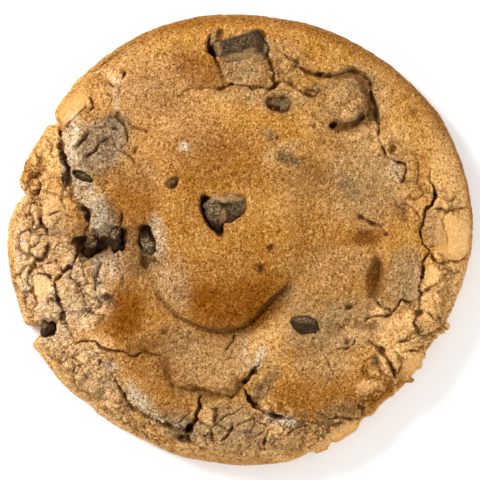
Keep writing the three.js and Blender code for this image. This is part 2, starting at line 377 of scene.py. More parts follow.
@dataclass(frozen=True)
class Outline:
    """The cookie's outline: a smooth closed curve through radii, with notches and bumps."""

    radii: tuple[float, ...] = (
        50.3, 50.9, 49.6, 48.8, 49.4, 48.9, 50.0, 50.0, 48.3, 48.8, 48.6, 47.5,
    )
    # Bearing, depth (below 0 for a bump) and half-width of each notch.
    notches: tuple[tuple[float, float, float], ...] = (
        (204.3, 3.6, 1.5),
        (152.0, 0.5, 2.6),
        (147.4, 2.1, 1.1),
        (170.0, 1.0, 3.0),
        (167.9, 1.6, 1.5),
        (228.0, 0.7, 1.6),
        (206.8, -0.7, 1.3),
        (288.2, 0.6, 1.0),
        (294.4, 0.9, 0.8),
        (311.0, 1.2, 4.0),
        (304.6, 1.3, 1.6),
        (320.5, -0.7, 0.5),
        (325.0, -0.8, 0.7),
        (329.5, 0.5, 1.8),
        (336.9, -1.3, 0.9),
    )

    def radius(self, bearing: np.ndarray) -> np.ndarray:
        """The radius at bearings in radians."""
        radii = np.array(self.radii)
        count = len(radii)
        place = (bearing / (2.0 * np.pi) * count) % count
        i = np.floor(place).astype(int)
        t = place - i
        before, start, end, after = (radii[(i + k) % count] for k in (-1, 0, 1, 2))
        curve = start + 0.5 * t * (
            end - before
            + t * (2 * before - 5 * start + 4 * end - after + t * (3 * (start - end) + after - before))
        )
        for angle, depth, half_width in self.notches:
            turn = bearing - math.radians(angle)
            along = np.arctan2(np.sin(turn), np.cos(turn)) * curve
            curve = curve - depth * np.exp(-((along / half_width) ** 2))
        return curve


# Soft hills, and hollows where the amount is below 0.
HILLS = (
    Patch(-19.0, -29.5, 9.0, 5.0, -35, 1.9),  # south-west hill
    Patch(11.5, -31.0, 8.5, 6.5, 20, 2.2),  # south-east hill
    Patch(-25.5, -17.0, 6.5, 5.0, 60, 1.5),  # west hill
    Patch(-31.5, -11.0, 4.0, 6.5, 0, 0.6),  # hill over a buried chip
    Patch(-29.5, 20.5, 6.0, 5.0, 40, 1.0),  # north-west hill
    Patch(26.0, 29.6, 5.4, 6.4, 10, -2.3),  # pit in the north-east
    Patch(34.6, -8.2, 4.0, 6.0, 0, 1.6),  # east hill
    Patch(29.2, -8.2, 1.8, 4.6, -6, -1.0),  # hollow beside it
    Patch(27.4, 0.6, 3.2, 1.5, 10, -1.2),  # hollow under the slit
    Patch(21.0, -8.5, 11.0, 5.0, 40, 1.1),  # south-east shoulder
    Patch(24.0, 10.0, 8.0, 8.0, 0, 0.7),  # east shoulder
    Patch(1.5, 38.5, 6.5, 5.5, 0, 1.2),  # north hill under the chunk
    Patch(-18.0, -4.0, 3.0, 8.0, 0, -1.3),  # low ground west of the dome
    Patch(-28.2, 4.6, 1.6, 3.6, 25, -0.8),  # streak above the torn hollow
    Patch(-2.0, -26.0, 12.0, 3.4, 0, -0.6),  # terrace below the dome
    Patch(5.2, -32.4, 1.5, 4.0, -40, -1.3),  # flank over a buried chip
    Patch(10.2, 17.1, 2.4, 1.2, -10, -0.9),
    Patch(13.0, 17.6, 2.2, 0.8, 30, 0.7),  # ridge beside that dent
    Patch(23.0, 11.0, 2.4, 1.4, -50, -0.5),
    Patch(31.0, -33.0, 4.0, 1.4, 25, -1.4),  # ledge at the south-east edge
    Patch(17.5, -25.0, 4.0, 3.0, 20, -0.5),
    Patch(24.5, -24.5, 3.5, 4.5, 0, -0.5),
    Patch(-14.0, -32.5, 3.5, 2.5, -30, -0.5),
)

# Plates with sharper edges: raised, or sunk where the amount is below 0.
PLATEAUS = (
    Patch(-38.6, 6.6, 4.6, 5.4, 15, 0.9),
    Patch(-37.6, -3.0, 3.5, 3.3, 0, 0.8),
    Patch(-46.2, 1.0, 3.4, 7.4, 0, 0.5),
    Patch(-42.2, -10.0, 3.3, 3.6, 0, 0.7),
    Patch(-41.0, 19.6, 2.4, 6.0, 16, 0.8),
    Patch(-36.3, 28.0, 4.4, 2.3, 48, 0.5),
    Patch(-34.2, -10.4, 4.0, 6.0, 10, 0.7),
    Patch(-27.6, -8.0, 1.7, 6.0, 0, 0.6),
    Patch(-29.6, -0.6, 4.6, 3.4, 10, -1.6),  # torn hollow
    Patch(-31.0, 6.0, 3.4, 5.5, 24, -0.9),
    Patch(-28.6, 21.6, 4.6, 6.0, -44, -0.6),
    Patch(0.6, 36.1, 5.3, 3.2, 0, 0.9),  # dough over the chunk's south side
    Patch(-3.6, -39.6, 6.2, 4.6, 0, 0.7),  # block in the south
    Patch(46.0, 0.6, 4.2, 5.2, 0, 0.6),  # east flake
    Patch(41.5, -7.9, 1.8, 2.9, -10, 0.4),
    Patch(34.6, -8.2, 4.2, 6.2, 0, 0.7),
    Patch(29.0, -8.3, 1.7, 4.4, -6, -1.4),
    Patch(7.6, -41.4, 2.8, 2.0, -20, 0.6),
    Patch(37.4, 12.0, 2.6, 6.0, 8, 0.4),
    Patch(32.2, 12.5, 3.4, 4.4, 0, -0.4),
    Patch(22.9, -41.6, 3.6, 2.0, 32, 0.5),
    Patch(37.6, -27.0, 3.4, 2.6, 40, 0.5),
    Patch(44.0, -14.4, 3.0, 2.4, -20, 0.5),
    Patch(36.2, -18.4, 4.0, 2.4, 20, 0.5),
    Patch(2.2, -24.0, 2.6, 4.2, 28, 0.5),
    Patch(-32.2, -25.6, 3.4, 2.2, 5, 0.6),
    Patch(12.5, -43.4, 5.0, 2.6, 8, 0.6),
)

# Balls of dough.
BALLS = (
    Patch(22.8, 29.6, 4.4, 4.1, 30, 2.7),
    Patch(-13.6, -38.9, 2.4, 1.6, -20, 0.5),
)

# Cracks in the crust.
SPLITS = (
    # North: above the dome, beside the chunk and round the pit.
    Split(((-14.5, 30.6), (-12.2, 31.9), (-9.5, 32.4), (-7.6, 32.9), (-3.9, 32.5)), 0.22, 0.5, 0.05),
    Split(((-6.0, 32.8), (-3.9, 32.5), (-1.8, 33.3), (0.0, 32.9), (3.9, 32.8), (6.5, 32.3), (8.2, 33.3),
           (9.7, 34.0), (11.3, 33.6), (13.6, 31.9), (15.2, 31.0), (16.4, 31.4), (17.2, 32.2),
           (16.6, 33.2)), 0.36, 1.3),
    Split(((-6.6, 44.2), (-6.9, 42.4), (-6.3, 40.4), (-5.4, 39.0), (-4.9, 37.6), (-4.4, 35.5),
           (-3.4, 33.2)), 0.34, 1.4, 0.1),
    Split(((-6.7, 41.9), (-6.0, 40.4), (-5.0, 39.2)), 0.75, 2.8, 0.0),
    Split(((5.6, 40.0), (6.4, 37.8), (7.4, 35.8), (7.0, 34.6), (8.2, 33.4)), 0.34, 0.9),
    Split(((9.0, 40.3), (10.4, 39.0), (11.9, 38.4), (13.0, 37.1)), 0.36, 0.9),
    Split(((10.5, 37.6), (13.5, 36.4), (16.2, 35.6), (18.2, 35.1), (19.9, 35.6), (22.2, 36.3),
           (24.6, 36.7), (26.6, 35.4), (28.0, 33.2), (28.6, 30.6), (29.2, 27.6), (30.0, 25.0),
           (29.9, 22.4)), 0.5, 1.4, 0.3),
    Split(((19.6, 34.9), (22.2, 35.4), (24.8, 35.4), (26.6, 33.4), (27.4, 30.4), (28.0, 27.4),
           (28.6, 25.4)), 0.75, 0.8, 0.0),
    Split(((24.6, 35.0), (26.4, 33.6), (27.4, 31.4)), 1.0, 0.8, 0.0),
    Split(((29.9, 22.4), (30.7, 19.9), (31.6, 18.2), (33.5, 16.9), (35.1, 16.5), (35.6, 14.7),
           (34.9, 11.4)), 0.4, 1.3),
    Split(((19.4, 24.8), (21.0, 24.0), (23.6, 24.4), (25.6, 25.4), (26.8, 27.0)), 0.8, 0.9, 0.0),
    Split(((13.8, 32.6), (15.8, 31.9), (17.6, 31.2)), 0.3, 0.8),
    # East.
    Split(((41.0, 15.0), (41.4, 12.3), (41.8, 9.3), (41.2, 7.4), (39.8, 6.5), (39.6, 4.1), (39.0, 1.8),
           (39.3, -0.6), (41.0, -2.5), (39.7, -4.3), (39.4, -7.1), (38.8, -9.0), (39.2, -11.4),
           (38.2, -12.6), (38.7, -15.9)), 0.29, 1.5),
    Split(((38.4, -12.3), (36.5, -13.2), (34.6, -13.0), (33.0, -15.4), (30.4, -14.9), (28.9, -12.8)),
          0.3, 1.1),
    Split(((33.4, -15.3), (31.4, -16.6), (28.7, -16.3), (27.6, -16.9), (26.6, -17.9)), 0.28, 0.9),
    Split(((43.1, 5.7), (43.6, 2.9), (44.3, 1.3), (44.4, -1.3)), 0.2, 0.45, 0.05),
    Split(((41.0, -2.8), (42.6, -4.9), (44.3, -5.7), (45.4, -4.6), (47.4, -4.4), (49.4, -3.0)), 0.34, 1.1),
    Split(((41.6, 6.4), (43.8, 6.9), (45.4, 6.3), (47.6, 6.9), (49.4, 6.6)), 0.32, 0.9),
    Split(((39.8, -10.9), (41.2, -9.9), (42.9, -9.5), (45.0, -7.0)), 0.3, 0.9),
    Split(((42.6, -5.2), (43.4, -7.2), (42.9, -9.4)), 0.28, 0.8),
    Split(((25.2, 5.5), (26.6, 4.7), (28.0, 4.1), (29.4, 3.1)), 0.55, 1.3, 0.0),
    Split(((28.6, 3.7), (30.2, 2.9), (31.9, 1.2)), 0.28, 0.8, 0.1),
    # South-east.
    Split(((27.4, -21.6), (28.9, -22.9), (30.2, -23.6), (31.6, -25.2), (32.8, -27.8), (33.7, -30.4)),
          0.36, 1.3),
    Split(((26.5, -26.4), (26.3, -27.8), (26.7, -29.3)), 0.26, 0.7),
    Split(((33.8, -21.4), (35.1, -21.6), (36.6, -21.0), (38.6, -19.6)), 0.28, 0.8),
    Split(((34.6, -24.1), (36.0, -23.7), (38.3, -23.9), (40.0, -22.9)), 0.28, 0.8),
    Split(((24.6, -20.8), (24.1, -22.4), (22.6, -23.4), (20.8, -23.2)), 0.28, 0.8),
    Split(((17.2, -23.4), (18.6, -25.8), (20.2, -29.1)), 0.22, 0.5, 0.05),
    Split(((38.6, -15.9), (37.8, -18.0), (38.3, -19.6), (40.0, -20.6), (42.6, -19.8)), 0.34, 1.0),
    Split(((38.8, -14.8), (41.0, -15.4), (42.2, -16.8), (44.4, -17.2)), 0.3, 0.8),
    Split(((24.8, -35.0), (26.3, -36.2), (26.2, -38.0), (24.2, -38.6), (21.5, -38.2)), 0.34, 1.0),
    Split(((16.0, -36.6), (19.0, -38.4), (21.5, -38.4)), 0.28, 0.7),
    # South: the ring below the terrace and what leaves it.
    Split(((-16.4, -22.0), (-15.6, -26.6), (-14.9, -29.6), (-13.0, -31.7), (-8.8, -32.5), (-3.9, -33.2),
           (-1.2, -32.4), (1.1, -30.0), (2.6, -27.6)), 1.8, 0.85, 0.0, 1.5),
    Split(((-14.8, -28.4), (-14.9, -30.2), (-13.7, -31.4), (-11.4, -32.5), (-8.8, -32.3), (-5.3, -32.9),
           (-3.9, -33.2), (-2.0, -33.9), (-0.6, -32.4), (1.1, -30.5), (1.9, -29.0), (3.2, -27.3),
           (4.5, -25.0)), 0.26, 1.2, 0.0),
    Split(((18.5, -20.4), (22.0, -18.8), (26.0, -18.2), (30.5, -19.0)), 2.0, 0.6, 0.0, 1.5),
    Split(((-24.5, -23.6), (-19.0, -22.6), (-15.6, -21.4)), 1.8, 0.6, 0.0, 1.5),
    Split(((0.6, -31.1), (1.4, -29.9), (2.3, -28.5), (2.9, -27.9)), 0.5, 2.4, 0.0),
    Split(((0.6, -31.4), (1.5, -32.9), (2.6, -34.9), (3.7, -36.0), (5.3, -37.1), (8.1, -37.9),
           (9.9, -39.0)), 0.42, 1.5),
    Split(((1.2, -32.6), (2.3, -34.6), (3.6, -35.8)), 0.6, 1.7, 0.0),
    Split(((-7.4, -33.2), (-8.6, -34.6), (-8.3, -35.8), (-9.4, -37.2), (-9.3, -38.6), (-10.5, -39.8),
           (-10.9, -41.3), (-12.4, -42.2)), 0.3, 1.3),
    Split(((-12.4, -42.2), (-10.6, -43.9), (-7.6, -45.6)), 0.42, 1.0),
    Split(((-1.0, -39.9), (-2.2, -41.2), (-4.0, -43.5)), 0.3, 0.9),
    Split(((0.6, -35.4), (-0.8, -36.8), (-2.6, -37.6), (-4.4, -39.2)), 0.22, 0.6),
    Split(((3.0, -38.0), (1.0, -39.4), (-0.6, -40.2)), 0.26, 0.8),
    Split(((-5.6, -35.4), (-5.0, -37.2), (-6.2, -39.4)), 0.2, 0.5),
    Split(((6.6, -40.6), (5.3, -42.0), (4.7, -44.5)), 0.3, 0.9),
    Split(((-1.2, -19.9), (-1.5, -21.5), (-2.9, -24.3)), 0.3, 0.9, 0.08),
    Split(((-21.5, -22.2), (-20.2, -20.6), (-18.0, -20.0)), 0.2, 0.4, 0.05),
    Split(((-18.6, -25.6), (-17.4, -27.0), (-17.6, -28.8)), 0.24, 0.6, 0.05),
    # South-west.
    Split(((-35.5, -22.7), (-34.1, -21.7), (-31.3, -21.9), (-29.4, -23.4), (-28.0, -23.9), (-25.4, -23.6),
           (-22.4, -24.9), (-20.5, -23.8), (-17.9, -24.4), (-15.2, -26.0)), 0.3, 1.1),
    Split(((-28.2, -28.9), (-26.6, -31.0), (-25.4, -32.7), (-24.0, -35.1), (-21.9, -37.5), (-19.3, -38.8),
           (-16.6, -39.6), (-13.0, -40.6)), 0.38, 1.3),
    # West: the long groove inside the rim, and the rim's own cracks.
    Split(((-39.8, 27.6), (-38.9, 25.2), (-38.7, 23.0), (-38.2, 20.4), (-38.2, 18.0), (-36.8, 15.2),
           (-36.9, 12.6), (-35.4, 9.3), (-34.5, 7.5), (-32.6, 6.1), (-32.9, 3.6), (-33.4, 1.3),
           (-34.0, -0.4), (-34.9, -2.9), (-36.0, -5.3), (-38.1, -7.4), (-39.8, -9.0), (-39.0, -12.3),
           (-38.2, -14.7), (-38.6, -17.4), (-36.7, -20.2), (-35.5, -22.7)), 0.5, 1.7),
    Split(((-38.6, 21.6), (-38.3, 19.4), (-37.7, 17.0)), 0.8, 1.6, 0.0),
    Split(((-37.6, 14.4), (-37.1, 12.4), (-36.0, 9.8), (-34.8, 7.7)), 1.0, 1.8, 0.0),
    Split(((-35.3, 0.6), (-34.6, -0.2), (-33.4, -0.7)), 1.1, 1.8, 0.0),
    Split(((-44.4, 16.4), (-43.9, 13.8), (-43.1, 12.0), (-43.3, 10.2), (-42.9, 8.0), (-43.3, 5.0),
           (-42.0, 3.0), (-41.4, 0.1)), 0.4, 1.2),
    Split(((-43.4, 8.6), (-44.6, 8.0), (-46.0, 7.2), (-46.4, 5.0)), 0.34, 0.9),
    Split(((-41.4, 0.3), (-41.1, -1.7), (-41.7, -3.7), (-43.2, -4.5), (-44.6, -4.2)), 0.46, 1.3),
    Split(((-43.9, -4.2), (-45.0, -6.2), (-45.9, -8.6), (-45.2, -11.4), (-43.6, -14.0)), 0.4, 1.1),
    Split(((-43.9, -7.0), (-42.0, -7.6), (-40.2, -8.7)), 0.4, 1.2),
    Split(((-39.9, -4.0), (-38.6, -5.4), (-38.2, -7.2)), 0.34, 0.9),
    Split(((-41.2, -13.4), (-39.6, -12.8), (-38.6, -13.4)), 0.34, 1.0),
    Split(((-41.6, 10.4), (-39.0, 9.2), (-36.2, 9.8)), 0.2, 0.6),
    Split(((-41.0, 5.2), (-38.4, 6.2), (-35.6, 4.8)), 0.22, 0.6),
    Split(((-39.7, 12.8), (-38.4, 10.8), (-38.6, 8.6), (-37.4, 6.4)), 0.2, 0.6),
    Split(((-41.0, -2.6), (-38.6, -1.0), (-35.8, -1.8)), 0.24, 0.7),
    Split(((-45.6, 2.8), (-44.0, 0.4), (-44.8, -2.6)), 0.24, 0.7),
    Split(((-47.8, 6.0), (-46.8, 3.2), (-47.4, 0.0)), 0.22, 0.6),
    Split(((-42.6, 22.6), (-40.8, 21.0), (-40.6, 18.6), (-39.2, 17.4)), 0.22, 0.7),
    # Between the crust and the foot.
    Split(((-42.3, -23.3), (-39.6, -26.5), (-36.6, -29.6), (-34.2, -33.0), (-31.5, -35.7), (-26.1, -38.4),
           (-22.6, -41.4), (-19.6, -43.3)), 0.4, 1.2, 0.15),
    # North-west.
    Split(((-32.3, 35.6), (-29.5, 37.4), (-27.3, 39.5), (-25.2, 40.8)), 0.28, 0.9),
    Split(((-28.5, 31.6), (-27.6, 30.6), (-27.6, 29.2)), 0.3, 0.8),
    Split(((-32.2, 31.0), (-31.9, 29.6), (-31.7, 28.6), (-33.2, 27.2)), 0.3, 0.9),
    Split(((-36.2, 19.9), (-34.4, 20.4), (-33.4, 21.6), (-32.0, 23.6)), 0.3, 1.1),
    Split(((-38.4, 23.6), (-36.4, 25.2), (-34.6, 27.2), (-33.0, 28.4)), 0.28, 0.7),
    Split(((-24.4, 25.6), (-22.8, 24.2), (-21.4, 23.3), (-19.6, 22.8)), 0.26, 0.7),
    Split(((-33.4, 18.0), (-31.4, 18.8), (-30.2, 20.6), (-28.2, 21.8)), 0.3, 0.8),
    Split(((-30.6, 23.8), (-28.4, 24.4), (-26.0, 23.4)), 0.26, 0.7),
    Split(((-27.4, 26.6), (-25.4, 25.6), (-24.4, 23.0), (-24.0, 20.4)), 0.3, 0.9),
    Split(((-25.4, 19.4), (-23.4, 18.2), (-22.2, 16.2)), 0.24, 0.6),
    Split(((-17.5, 34.5), (-16.6, 33.4), (-15.9, 32.6)), 0.22, 0.4, 0.05),
    Split(((-16.6, 31.1), (-16.0, 29.6), (-15.4, 28.1)), 0.22, 0.4, 0.05),
    # The torn hollow's own gaps.
    Split(((-31.8, 2.6), (-30.8, 0.6), (-31.4, -0.8), (-33.6, -2.2)), 0.5, 1.3, 0.0),
    Split(((-25.6, 6.0), (-25.8, 3.4), (-24.9, 1.2), (-25.2, -1.6)), 0.45, 1.3, 0.1),
    Split(((-30.2, -4.0), (-30.6, -7.4), (-31.2, -10.6), (-30.2, -14.0)), 0.3, 0.8),
    Split(((-28.6, -11.4), (-27.6, -13.0), (-29.0, -14.6)), 0.34, 0.9),
)

# Small holes in the crust.
PITS = (
    Patch(20.1, 24.9, 0.85, 0.75, 0, 3.0),
    Patch(37.6, 27.6, 0.9, 0.6, -20, 0.6),
    Patch(23.3, -14.4, 0.9, 0.6, 0, 1.1),
    Patch(-25.2, 35.6, 0.9, 0.4, 80, 1.4),
    Patch(-14.0, -10.8, 0.5, 0.35, 120, 0.7),
    Patch(4.3, -6.4, 1.15, 0.75, 125, 1.0),
    Patch(6.5, -1.7, 0.75, 0.55, 60, 0.8),
    Patch(30.4, -23.7, 0.85, 0.8, 0, 1.5),
    Patch(-10.8, -40.6, 0.8, 1.4, -25, 2.7),
    Patch(-9.8, -39.0, 0.4, 0.9, -15, 1.6),
    Patch(-12.2, -42.6, 1.5, 0.8, -20, 1.6),
    Patch(-20.5, 2.3, 1.6, 0.8, 5, 2.4),
    Patch(-20.4, -4.8, 0.8, 1.5, 10, 1.2),
    Patch(-22.5, 19.3, 0.45, 0.7, 0, 0.7),
    Patch(16.3, 24.4, 0.6, 0.45, 30, 0.7),
    Patch(38.7, -15.8, 0.9, 0.7, 0, 1.3),
    Patch(-44.6, -5.6, 0.9, 0.6, 20, 0.9),
    Patch(-28.3, -12.7, 1.2, 0.9, -30, 0.9),
    Patch(23.0, -21.9, 0.5, 0.8, 20, 0.6),
    Patch(33.0, 19.6, 0.7, 0.9, -20, 0.9),
    Patch(-26.4, 27.0, 0.8, 0.4, 60, 0.7),
    Patch(31.7, 1.0, 0.6, 0.5, 0, 0.9),
    Patch(-16.2, -19.6, 0.7, 0.55, 20, 0.6),
)

# Where the crust lies in broken plates.
PLATED = (
    Patch(-43.6, 6.0, 6.0, 18.0, -3, 1.0),
    Patch(-44.0, -11.0, 7.0, 9.0, 12, 0.75),
    Patch(-33.5, -11.0, 5.5, 8.5, 10, 0.9),
    Patch(-35.0, 22.0, 4.0, 8.0, -20, 0.6),
    Patch(-30.0, 32.0, 6.0, 3.6, 40, 0.7),
    Patch(-2.0, -41.5, 17.0, 5.6, 0, 0.8),
    Patch(14.0, -43.0, 11.0, 4.2, 12, 0.9),
    Patch(40.0, -22.0, 7.0, 9.0, -25, 0.9),
    Patch(43.0, -8.0, 5.0, 9.0, -5, 0.9),
    Patch(44.0, 7.5, 4.5, 3.6, 0, 0.6),
    Patch(36.5, 10.0, 4.0, 8.0, 0, 0.7),
    Patch(32.5, -25.5, 6.0, 6.0, 0, 0.6),
    Patch(24.0, -18.5, 9.0, 4.5, 10, 0.5),
    Patch(14.0, 36.0, 6.0, 4.5, -20, 0.6),
    Patch(22.0, 27.0, 8.0, 8.0, 0, 0.4),
    Patch(-34.0, -27.5, 10.0, 7.0, -45, 0.6),
)

# Where it broke into crumb.
CRUMBLED = (
    Patch(-35.5, -28.0, 10.0, 6.0, -47, 0.75),
    Patch(-23.0, -39.2, 11.0, 4.2, -28, 0.9),
    Patch(-46.0, 3.0, 3.6, 9.0, 0, 0.55),
    Patch(-42.0, -13.5, 6.0, 6.5, 20, 0.5),
    Patch(-33.0, -10.5, 4.6, 7.5, 10, 0.6),
    Patch(-32.0, 13.0, 4.6, 13.0, -14, 0.55),
    Patch(-30.0, 0.0, 6.0, 6.0, 0, 0.9),
    Patch(-29.5, 20.8, 5.4, 6.6, -40, 0.65),
    Patch(22.6, 29.5, 4.0, 4.0, 0, 0.3),
    Patch(-19.5, -2.0, 3.0, 5.0, 0, 0.6),
    Patch(-2.0, -43.5, 13.0, 3.2, 0, 0.5),
    Patch(13.0, -42.0, 8.0, 3.4, 12, 0.7),
    Patch(40.5, -21.0, 4.5, 8.5, -25, 0.7),
    Patch(44.8, -11.0, 3.6, 6.0, -12, 0.8),
    Patch(31.0, -31.5, 7.0, 4.0, 40, 0.5),
    Patch(44.0, 8.0, 3.5, 2.2, 0, 0.4),
    Patch(31.0, 20.5, 3.0, 4.0, 20, 0.5),
    Patch(26.0, -17.0, 8.0, 2.4, 10, 0.4),
    Patch(0.6, 37.2, 5.4, 3.4, 0, 0.35),
    Patch(8.0, 38.0, 4.0, 4.0, 0, 0.4),
    Patch(-40.4, 20.0, 3.0, 7.0, 14, 0.35),
    Patch(7.5, -36.5, 6.0, 2.2, -28, 0.5),
    Patch(8.2, 29.2, 3.6, 2.6, 0, 0.3),
)

# Where the surface is open and full of small pores.
PORES = (
    Patch(-7.0, -27.0, 13.0, 5.0, 0, 1.0),
    Patch(33.0, 5.5, 5.0, 4.0, 0, 0.9),
    Patch(18.0, -26.5, 6.0, 5.0, 0, 0.9),
    Patch(24.0, -24.0, 5.0, 5.0, 0, 0.7),
    Patch(35.0, 22.0, 7.0, 9.0, 30, 0.5),
    Patch(-35.0, -28.0, 10.0, 7.0, -45, 1.0),
    Patch(26.0, 12.0, 9.0, 9.0, 0, 0.4),
    Patch(0.0, -41.0, 16.0, 4.5, 0, 0.8),
    Patch(-20.0, -9.0, 3.0, 6.0, 0, 0.6),
    Patch(34.0, -24.0, 6.0, 6.0, 0, 0.5),
    Patch(-29.0, 20.0, 6.0, 7.0, 0, 0.7),
)

# Smooth flakes of crust that stayed whole.
FLAKES = (
    Patch(46.0, 0.6, 3.8, 4.8, 0, 1.0),
    Patch(41.3, -7.6, 1.5, 2.4, -10, 0.8),
    Patch(-36.4, 28.2, 4.2, 2.2, 48, 1.0),
    Patch(37.4, -27.2, 2.6, 2.0, 40, 0.8),
    Patch(22.9, -41.6, 3.2, 1.7, 32, 0.8),
    Patch(27.4, -31.6, 1.9, 0.9, -5, 0.8),
    Patch(-42.8, -10.6, 2.2, 3.0, -8, 0.7),
    Patch(-38.8, 8.0, 3.0, 3.4, 0, 0.5),
)


@dataclass(frozen=True)
class Socket:
    """The opening in the dough over a piece of chocolate."""

    patch: Patch
    depth: float = 2.4
    edge: float = 0.14

    def cut(self, places: np.ndarray) -> np.ndarray:
        """How far the opening lowers the dough."""
        return self.depth * self.patch.plate(places, self.edge)


# One or more for each piece of chocolate.
SOCKETS = (
    Socket(Patch(-5.9, 5.3, 4.4, 1.9, 118), 3.0),
    Socket(Patch(-2.0, 6.8, 3.4, 2.3, 30), 1.6, 0.3),
    Socket(Patch(8.2, 29.2, 2.6, 1.6, -6), 1.9, 0.25),
    Socket(Patch(13.9, -18.2, 3.0, 1.6, -16), 1.8, 0.25),
    Socket(Patch(-20.0, -0.2, 1.9, 2.9, 10), 2.4, 0.25),
    Socket(Patch(-14.5, 12.4, 1.5, 1.2, 0), 1.1, 0.3),
    Socket(Patch(-33.8, 13.7, 2.2, 0.8, -24), 1.4),
    Socket(Patch(-41.6, -19.2, 1.8, 1.4, 30), 3.4),
    Socket(Patch(0.4, 41.5, 5.0, 2.5, 14), 1.3, 0.1),
    Socket(Patch(2.9, 43.3, 2.8, 1.6, 30), 1.3, 0.1),
    Socket(Patch(4.4, 41.0, 1.6, 2.6, 8), 1.3, 0.1),
    Socket(Patch(-3.6, 41.1, 2.0, 1.9, 0), 1.3, 0.1),
    Socket(Patch(-4.4, 44.4, 0.7, 1.4, -15), 0.8),
    Socket(Patch(-30.9, -1.3, 3.6, 1.5, 25), 2.6, 0.3),
    Socket(Patch(-26.6, 0.1, 1.5, 2.5, 5), 2.6, 0.3),
)


@dataclass(frozen=True)
class Crust:
    """The height and the roughness of the dough over its plain disc."""

    outline: Outline = Outline()
    dome: Dome = Dome()
    middle_height: float = 13.0
    rim_height: float = 11.6
    edge_radius: float = 50.0
    wander: float = 0.5
    wander_size: float = 2.6
    fine_wander: float = 0.16
    fine_wander_size: float = 0.8
    # Height, size and seed of the unevenness of all the crust, and of the grain where it isn't smooth.
    uneven: tuple[tuple[float, float, int], ...] = ((0.28, 7.0, 60), (0.14, 2.4, 61))
    grain: tuple[tuple[float, float, int], ...] = ((0.1, 1.1, 62), (0.07, 0.62, 63))
    smoothing: float = 0.75
    pore_size: float = 1.5
    pore_depth: float = 0.42
    pore_chance: float = 0.34
    pores_anywhere: float = 0.2
    plates: Breakage = Breakage(
        size=5.6, step=1.1, lean=0.8, gap=1.1, gap_width=0.11, closed=0.4, warp=0.35, seed=200
    )
    clumps: Breakage = Breakage(
        size=3.1, step=0.8, lean=0.8, gap=0.7, gap_width=0.12, closed=0.25, warp=0.4, seed=230
    )
    crumbs: Breakage = Breakage(
        size=1.25, step=0.5, lean=0.35, gap=0.3, gap_width=0.2, closed=0.2, warp=0.35, seed=260
    )
    crackle: Breakage = Breakage(
        size=3.4, step=0.0, lean=0.0, gap=0.5, gap_width=0.09, closed=0.05, warp=0.4, seed=290
    )

    def wandered(self, points: np.ndarray) -> np.ndarray:
        """Places x and y, moved a little by noise so that no line on the crust runs straight."""
        places = points[:, :2].copy()
        for axis in range(2):
            places[:, axis] += self.wander * lumpy(points, self.wander_size, 40 + axis, 2)
            places[:, axis] += self.fine_wander * lumpy(points, self.fine_wander_size, 46 + axis)
        return places

    def height(self, points: np.ndarray) -> np.ndarray:
        """Height of the crust, without its cracks, at points."""
        places = points[:, :2]
        share = np.clip(np.linalg.norm(places, axis=1) / self.edge_radius, 0.0, 1.0)
        height = self.middle_height + (self.rim_height - self.middle_height) * share**2
        height += self.dome.height(places)
        for hill in HILLS:
            height += hill.bell(places)
        wandered = self.wandered(points)
        for plateau in PLATEAUS:
            height += plateau.plate(wandered, 0.16)
        for ball in BALLS:
            height += ball.ball(places)
        return height

    def whole(self, points: np.ndarray) -> np.ndarray:
        """How smooth the crust stayed at points, from 0 to 1."""
        return most(FLAKES, self.wandered(points), 0.15)

    def cracks(self, points: np.ndarray) -> np.ndarray:
        """How far cracks, pits and sockets lower the crust at points."""
        places = self.wandered(points)
        width_noise = lumpy(points, 1.9, 50, 2)
        depth = np.zeros(len(points))
        raised = np.zeros(len(points))
        for split in SPLITS:
            cut = split.cut(places, width_noise)
            depth = np.maximum(depth, cut)
            raised = np.minimum(raised, cut)
        for pit in PITS:
            depth = np.maximum(depth, pit.plate(places, 0.4))
        for socket in SOCKETS:
            depth = np.maximum(depth, socket.cut(places))
        return np.where(depth > 0.02, depth, raised)

    def breakage(self, points: np.ndarray) -> tuple[np.ndarray, np.ndarray, np.ndarray]:
        """How the crust broke up at points.

        Args:
            points: places, three numbers to a row.

        Returns:
            How far each point rises, how deep in a gap it is, and the tone of its flake.
        """
        places = self.wandered(points)
        above = smooth_step(points[:, 2], 3.6, 6.0) * (1.0 - self.whole(points))
        rise, gaps, tone = (np.zeros(len(points)) for _ in range(3))
        shares = (
            (self.plates, most(PLATED, places, 0.4) * above),
            (self.clumps, most(CRUMBLED, places, 0.4) * above),
            (self.crumbs, most(CRUMBLED, places, 0.4) * above),
            (self.crackle, (0.25 + 0.75 * most(PLATED, places, 0.6)) * above),
        )
        for kind, share in shares:
            rough = share > 0.02
            if rough.any():
                up, gap, number = kind.over(points[rough])
                rise[rough] += share[rough] * up
                gaps[rough] = np.maximum(gaps[rough], share[rough] * gap)
                if kind.step:
                    tone[rough] += share[rough] * (number - 0.5)
        return rise, gaps, tone

    def roughness(self, points: np.ndarray) -> np.ndarray:
        """How far crumb, pores and unevenness raise the crust along its normal."""
        smooth = 1.0 - self.smoothing * self.whole(points)
        rise = sum(height * lumpy(points, size, seed) for height, size, seed in self.uneven)
        rise += smooth * sum(height * lumpy(points, size, seed) for height, size, seed in self.grain)
        rise += self.breakage(points)[0]
        porous = most(PORES, points[:, :2], 0.5) * smooth_step(points[:, 2], 6.0, 8.0)
        open_ground = (self.pores_anywhere + (1.0 - self.pores_anywhere) * porous) * smooth
        holes = Clumps.over(points, self.pore_size, 90)
        chosen = holes.number < self.pore_chance * open_ground
        rise -= chosen * self.pore_depth * smooth_step(holes.nearest, 0.4, 0.12)
        return rise


# ---- Modelling helpers ---------------------------------------------------------------------------


def bare() -> None:
    """Deselects every object, so that operators act only on what comes next."""
    bpy.ops.object.select_all(action="DESELECT")


